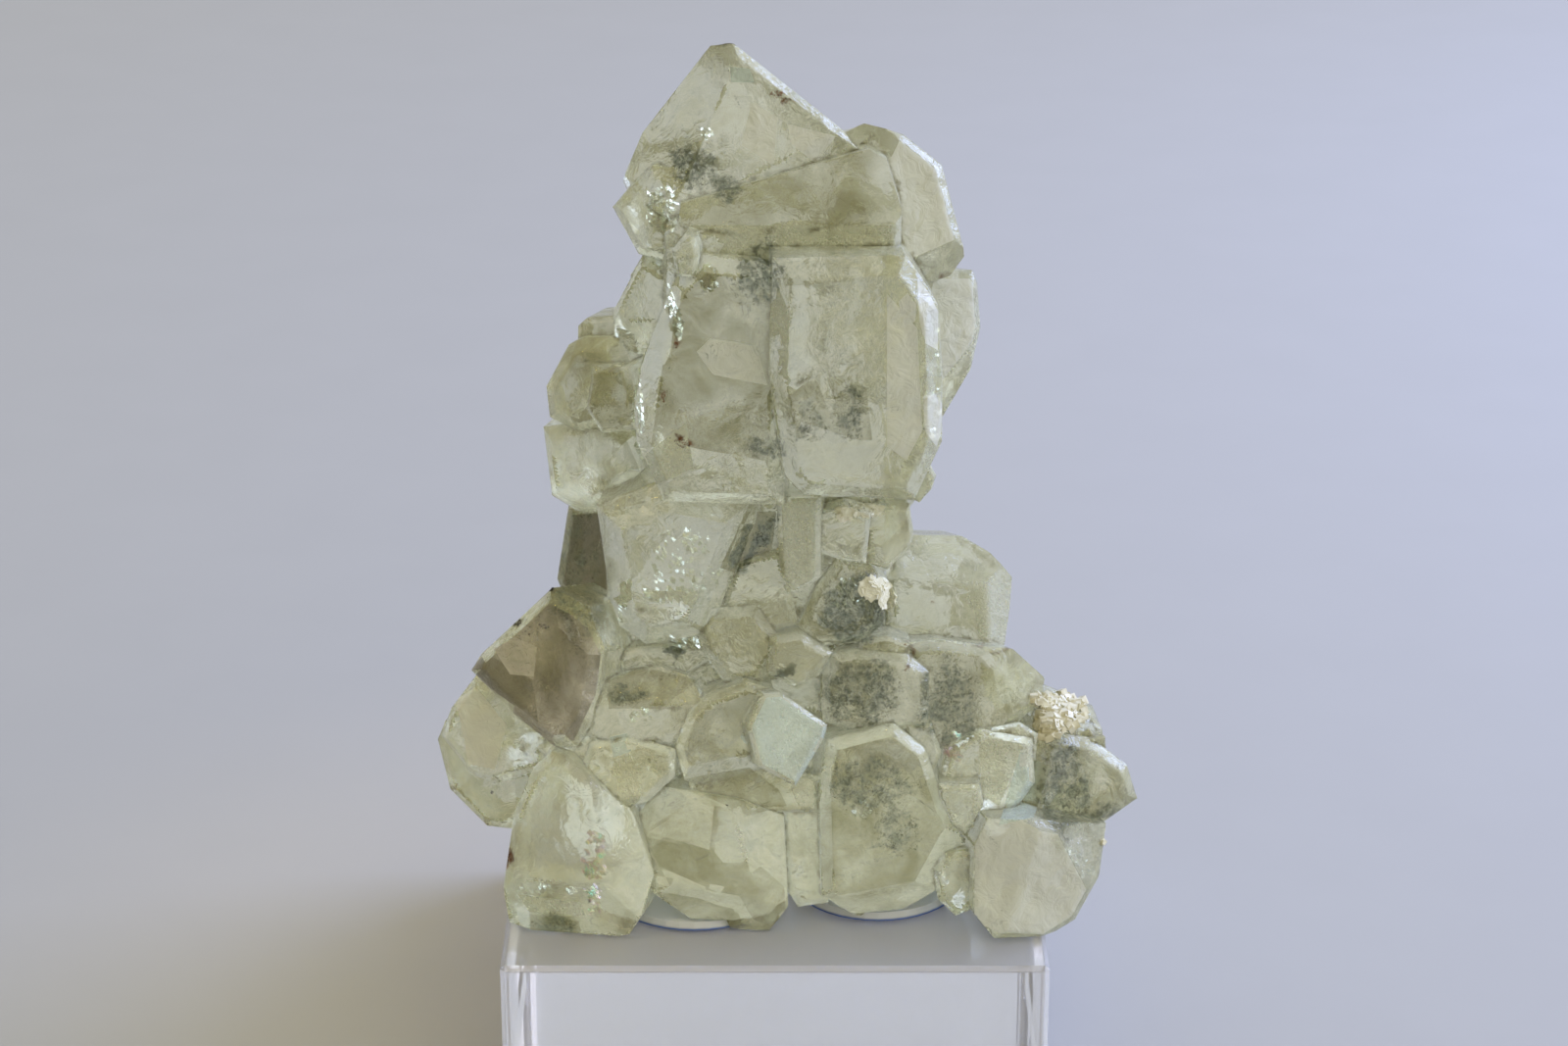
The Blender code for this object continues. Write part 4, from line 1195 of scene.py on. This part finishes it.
@dataclass
class Grains:
    """Many small grains or flakes, joined in one piece."""
    name: str
    clouds: tuple[Cloud, ...]
    finish: GrainFinish
    view: Viewpoint
    seed: int
    lie: Lie = Lie.TUMBLED
    corners: int = 4              # 4 for a chip, 8 for a tiny crystal
    thickness: float = 0.6        # as a share of a grain's size
    skin: float = 0.3             # millimetres of clear crystal outside every inner grain
    spread: float = 9.0           # degrees that a flashing flake strays
    clump_size: float = 1.1       # millimetres between the thick and thin parts of a cloud
    clump_limits: tuple[float, float] = (-0.25, 0.35)   # below which a cloud has a gap

    def pattern(self) -> tuple[np.ndarray, np.ndarray]:
        """Make one grain of a unit's size.

        Returns:
            Its corners, and its triangles as rows of corner numbers.
        """
        bm = bmesh.new()
        if self.corners == 4:
            bmesh.ops.create_cone(bm, cap_ends=True, segments=3, radius1=0.5, radius2=0.0,
                                  depth=0.8)
        else:
            bmesh.ops.create_cube(bm, size=0.8)
        bmesh.ops.triangulate(bm, faces=bm.faces)
        corners = np.array([vert.co[:] for vert in bm.verts])
        faces = np.array([[vert.index for vert in face.verts] for face in bm.faces])
        bm.free()
        return corners, faces

    def places(self, cloud: Cloud, surface: BVHTree,
               chance: random.Random) -> list[tuple[Vector, Vector]]:
        """Choose where a cloud's grains sit.

        Args:
            cloud: The cloud.
            surface: The crystals' surface.
            chance: The source of chance.

        Returns:
            The grains' centres, in metres, and the normals of the faces nearest to them.
        """
        found = []
        turn = math.radians(cloud.turn)
        inner = cloud.depths[1] > 0.0
        for _ in range(cloud.count * 3):
            reach = math.sqrt(chance.random())
            angle = chance.uniform(0.0, math.tau)
            across = cloud.radii[0] * reach * math.cos(angle)
            down = cloud.radii[1] * reach * math.sin(angle)
            pixel = (cloud.centre[0] + across * math.cos(turn) + down * math.sin(turn),
                     cloud.centre[1] - across * math.sin(turn) + down * math.cos(turn))
            start, aim = self.view.ray(pixel)
            place, normal, index, gap = surface.ray_cast(start, aim)
            if place is None:
                continue
            if inner:
                place = place + aim * chance.uniform(*cloud.depths) * MM
                clump = noise.fractal(place / (self.clump_size * MM), 1.0, 2.0, 3)
                near, normal, index, gap = surface.find_nearest(place)
                if (clump < chance.uniform(*self.clump_limits) or gap < self.skin * MM
                        or (place - near).dot(normal) > 0.0):
                    continue
            found.append((place, normal))
            if len(found) == cloud.count:
                break
        return found

    def turned(self, place: Vector, normal: Vector, chance: random.Random) -> Matrix:
        """Turn a grain the way that this kind lies.

        Args:
            place: Its centre.
            normal: The normal of the face nearest to it.
            chance: The source of chance.

        Returns:
            Its rotation.
        """
        if self.lie is Lie.TUMBLED:
            turns = [chance.uniform(0.0, math.tau) for _ in range(3)]
            return Euler(turns).to_matrix()
        if self.lie is Lie.FLASHING:
            to_window = (Vector(WINDOW) - place).normalized()
            to_eye = (Vector(self.view.place) * MM - place).normalized()
            normal = to_window + to_eye
        stray = math.radians(self.spread)
        tip = Euler((chance.gauss(0.0, stray), chance.gauss(0.0, stray), 0.0)).to_matrix()
        spin = Matrix.Rotation(chance.uniform(0.0, math.tau), 3, 'Z')
        return normal.to_track_quat('Z', 'Y').to_matrix() @ tip @ spin

    def build(self, surface: BVHTree) -> bpy.types.Object:
        """Build every cloud's grains as one piece.

        Args:
            surface: The crystals' surface.

        Returns:
            The piece.
        """
        chance = random.Random(self.seed)
        corners, faces = self.pattern()
        all_corners, all_faces = [], []
        for cloud in self.clouds:
            for place, normal in self.places(cloud, surface, chance):
                size = chance.uniform(*cloud.grain) * MM
                turn = np.array(self.turned(place, normal, chance))
                shape = turn @ np.diag((size, size * chance.uniform(0.6, 1.0),
                                        size * self.thickness))
                all_faces.append(faces + len(corners) * len(all_corners))
                all_corners.append(corners @ shape.T + np.array(place))
        mesh = bpy.data.meshes.new(self.name)
        mesh.from_pydata(np.concatenate(all_corners).tolist(), [],
                         np.concatenate(all_faces).tolist())
        piece = new_object(self.name, mesh, [self.finish.make()])
        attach(piece, ROOT)
        LOG.info("%s: %d grains", self.name, len(all_corners))
        return piece


# ---------------------------------------------------------------------------
# block and gel
# ---------------------------------------------------------------------------

@dataclass(frozen=True)
class ClearFinish:
    """A clear cast or soft plastic: smooth, with faint waves from its polishing."""
    name: str
    ior: float
    tint: str
    density: float
    roughness: float
    transmission: float = 1.0
    wave: float = 0.05            # how strong the waves are
    body: str = "#ffffff"
    rim: str = ""                 # a colour for a band at the foot, if any
    rim_levels: tuple[float, float] = (20.35, 20.6)  # millimetres, from all rim to none
    wave_length: float = 9.0      # millimetres

    def make(self) -> bpy.types.Material:
        """Make the material.

        Returns:
            The material, for a clear piece.
        """
        material, tree, shader = new_material(self.name)
        shader.inputs["Base Color"].default_value = linear(self.body)
        shader.inputs["IOR"].default_value = self.ior
        shader.inputs["Transmission Weight"].default_value = self.transmission
        place = add_node(tree, "ShaderNodeTexCoord").outputs["Object"]
        if self.rim:
            split = add_node(tree, "ShaderNodeSeparateXYZ", inputs={0: place})
            share = add_node(tree, "ShaderNodeMapRange", inputs={
                "Value": split.outputs["Z"], "From Min": self.rim_levels[0] * MM,
                "From Max": self.rim_levels[1] * MM, "To Min": 1.0, "To Max": 0.0})
            colour = add_node(tree, "ShaderNodeMix", {"data_type": 'RGBA'}, {
                0: share, 6: linear(self.body), 7: linear(self.rim)})
            tree.links.new(colour.outputs[2], shader.inputs["Base Color"])
        waves = add_node(tree, "ShaderNodeTexNoise", inputs={
            "Vector": place, "Scale": 1 / (self.wave_length * MM), "Detail": 2.0})
        rough = add_node(tree, "ShaderNodeMapRange", inputs={
            "Value": waves, "To Min": self.roughness,
            "To Max": self.roughness + 0.02})
        tree.links.new(rough.outputs[0], shader.inputs["Roughness"])
        relief = add_node(tree, "ShaderNodeBump", inputs={
            "Strength": self.wave, "Distance": 0.2 * MM, "Height": waves})
        tree.links.new(relief.outputs[0], shader.inputs["Normal"])
        volume = add_node(tree, "ShaderNodeVolumeAbsorption")
        volume.inputs["Color"].default_value = linear(self.tint)
        volume.inputs["Density"].default_value = self.density
        tree.links.new(volume.outputs[0], tree.nodes["Material Output"].inputs["Volume"])
        return material


def dress_node(node: str, finish: ClearFinish) -> None:
    """Give a node of the frame its finish.

    Args:
        node: The node's name.
        finish: Its finish.
    """
    material = finish.make()
    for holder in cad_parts[node].material_slots:
        holder.material = material
    LOG.info("%s dressed", node)


@dataclass(frozen=True)
class PaintedEdgeHighlights:
    """Painted highlights along the block's polished edges: slim pale bars just inside them, the
    wide back one glowing.

    Sizes are in millimetres.
    """
    reach: float = 29.2           # from the block's middle to a bar
    height: float = 20.0
    margin: float = 0.8
    widths: tuple[float, float] = (0.6, 0.2)  # of the glowing bar at the back, and of the rest
    # the colour of the painted highlights
    colour: str = "#f1f1ff"
    glow: float = 1.0             # emission of the wide back bar: a painted highlight that glows

    def build(self) -> bpy.types.Object:
        """Build the piece.

        Returns:
            The piece, riding on the block.
        """
        materials = []
        for name, glow in (("painted_highlight_edge", 0.0), ("glowing_painted_highlight_edge", self.glow)):
            material, _, shader = new_material(name)
            shader.inputs["Base Color"].default_value = linear(self.colour)
            shader.inputs["Roughness"].default_value = 0.3
            shader.inputs["Emission Color"].default_value = linear(self.colour)
            shader.inputs["Emission Strength"].default_value = glow
            materials.append(material)
        wide, slim = self.widths
        tall = self.height - 2 * self.margin
        bars = [((-self.reach, self.reach, self.height / 2), (wide, wide, tall)),
                ((self.reach, self.reach, self.height / 2), (slim, slim, tall)),
                ((-self.reach, -self.reach, self.height / 2), (slim, slim, tall)),
                ((self.reach, -self.reach, self.height / 2), (slim, slim, tall)),
                ((0.0, -self.reach, self.height - self.margin), (2 * self.reach, slim, slim))]
        bm = bmesh.new()
        for place, size in bars:
            verts = bmesh.ops.create_cube(bm, size=1.0)["verts"]
            for face in {face for vert in verts for face in vert.link_faces}:
                face.material_index = int(size[0] == wide)
            bmesh.ops.scale(bm, vec=Vector(size) * MM, verts=verts)
            bmesh.ops.translate(bm, vec=Vector(place) * MM, verts=verts)
        mesh = bpy.data.meshes.new("painted_edge_highlights")
        bm.to_mesh(mesh)
        bm.free()
        piece = new_object("painted_edge_highlights", mesh, materials)
        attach(piece, ROOT)
        LOG.info("%s: %d bars", piece.name, len(bars))
        return piece


def main() -> None:
    """Build the scene."""
    logging.basicConfig(level=logging.INFO, format="%(message)s")
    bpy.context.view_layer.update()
    view = Viewpoint()
    view.set_up()
    Studio().set_up()
    _, surface = CrystalCluster(view).build()
    for grains in (
            # Dust grains; one cloud stands for painted shade in the hollow between the slabs.
            Grains("chlorite_dust_and_shade", DARK_CLOUDS,
                   GrainFinish("chlorite_and_shade", ("#45493d", "#868b79")), view, 5),
            Grains("cleavage_flashes", FLASHES,
                   GrainFinish("cleavage_mirror", ("#fbfbf0", "#e9eee4"), 0.18, 1.0), view, 6,
                   Lie.FLASHING, 8, 0.12),
            Grains("rainbow_cracks", RAINBOW,
                   GrainFinish("thin_air_film", ("#b9f3e6", "#f6f3d2", "#f1cfe0", "#c5e1fa"),
                               0.2, 1.0, 1.2), view, 7, Lie.FLASHING, 8, 0.12),
            Grains("rust_specks", RUST_SPECKS,
                   GrainFinish("iron_rust", ("#3a1c0c", "#7a4620"), 0.9), view, 8,
                   Lie.FLAT, 4, 0.5),
            Grains("black_specks", BLACK_SPECKS,
                   GrainFinish("manganese_black", ("#15130f", "#2b2722"), 0.7), view, 9,
                   Lie.FLAT, 4, 0.5),
            Grains("cream_crust", CREAM_CRUST,
                   GrainFinish("clay_crust", ("#dcd9c2", "#efeee0"), 0.9), view, 10,
                   Lie.FLAT, 8, 0.25),
            Grains("druse", DRUSE,
                   GrainFinish("drusy_quartz", ("#c4bd9f", "#e4e1cf"), 0.3), view, 11,
                   Lie.TUMBLED, 8, 1.0)):
        grains.build(surface)
    dress_node("display_block", ClearFinish("cast_acrylic", 1.49, "#eef1ff", 2.5, 0.0, 0.7,
                                              0.015, "#f7f7fb"))
    # Painted highlights: pale bars along the block's edges, one of them glowing.
    PaintedEdgeHighlights().build()
    gel = ClearFinish("mounting_gel", 1.41, "#dde8fd", 10.0, 0.05, 0.35, body="#f6faff",
                      rim="#2f62bd")
    for node in ("gel_pad_left", "gel_pad_right"):
        dress_node(node, gel)


if __name__ == "__main__":
    main()
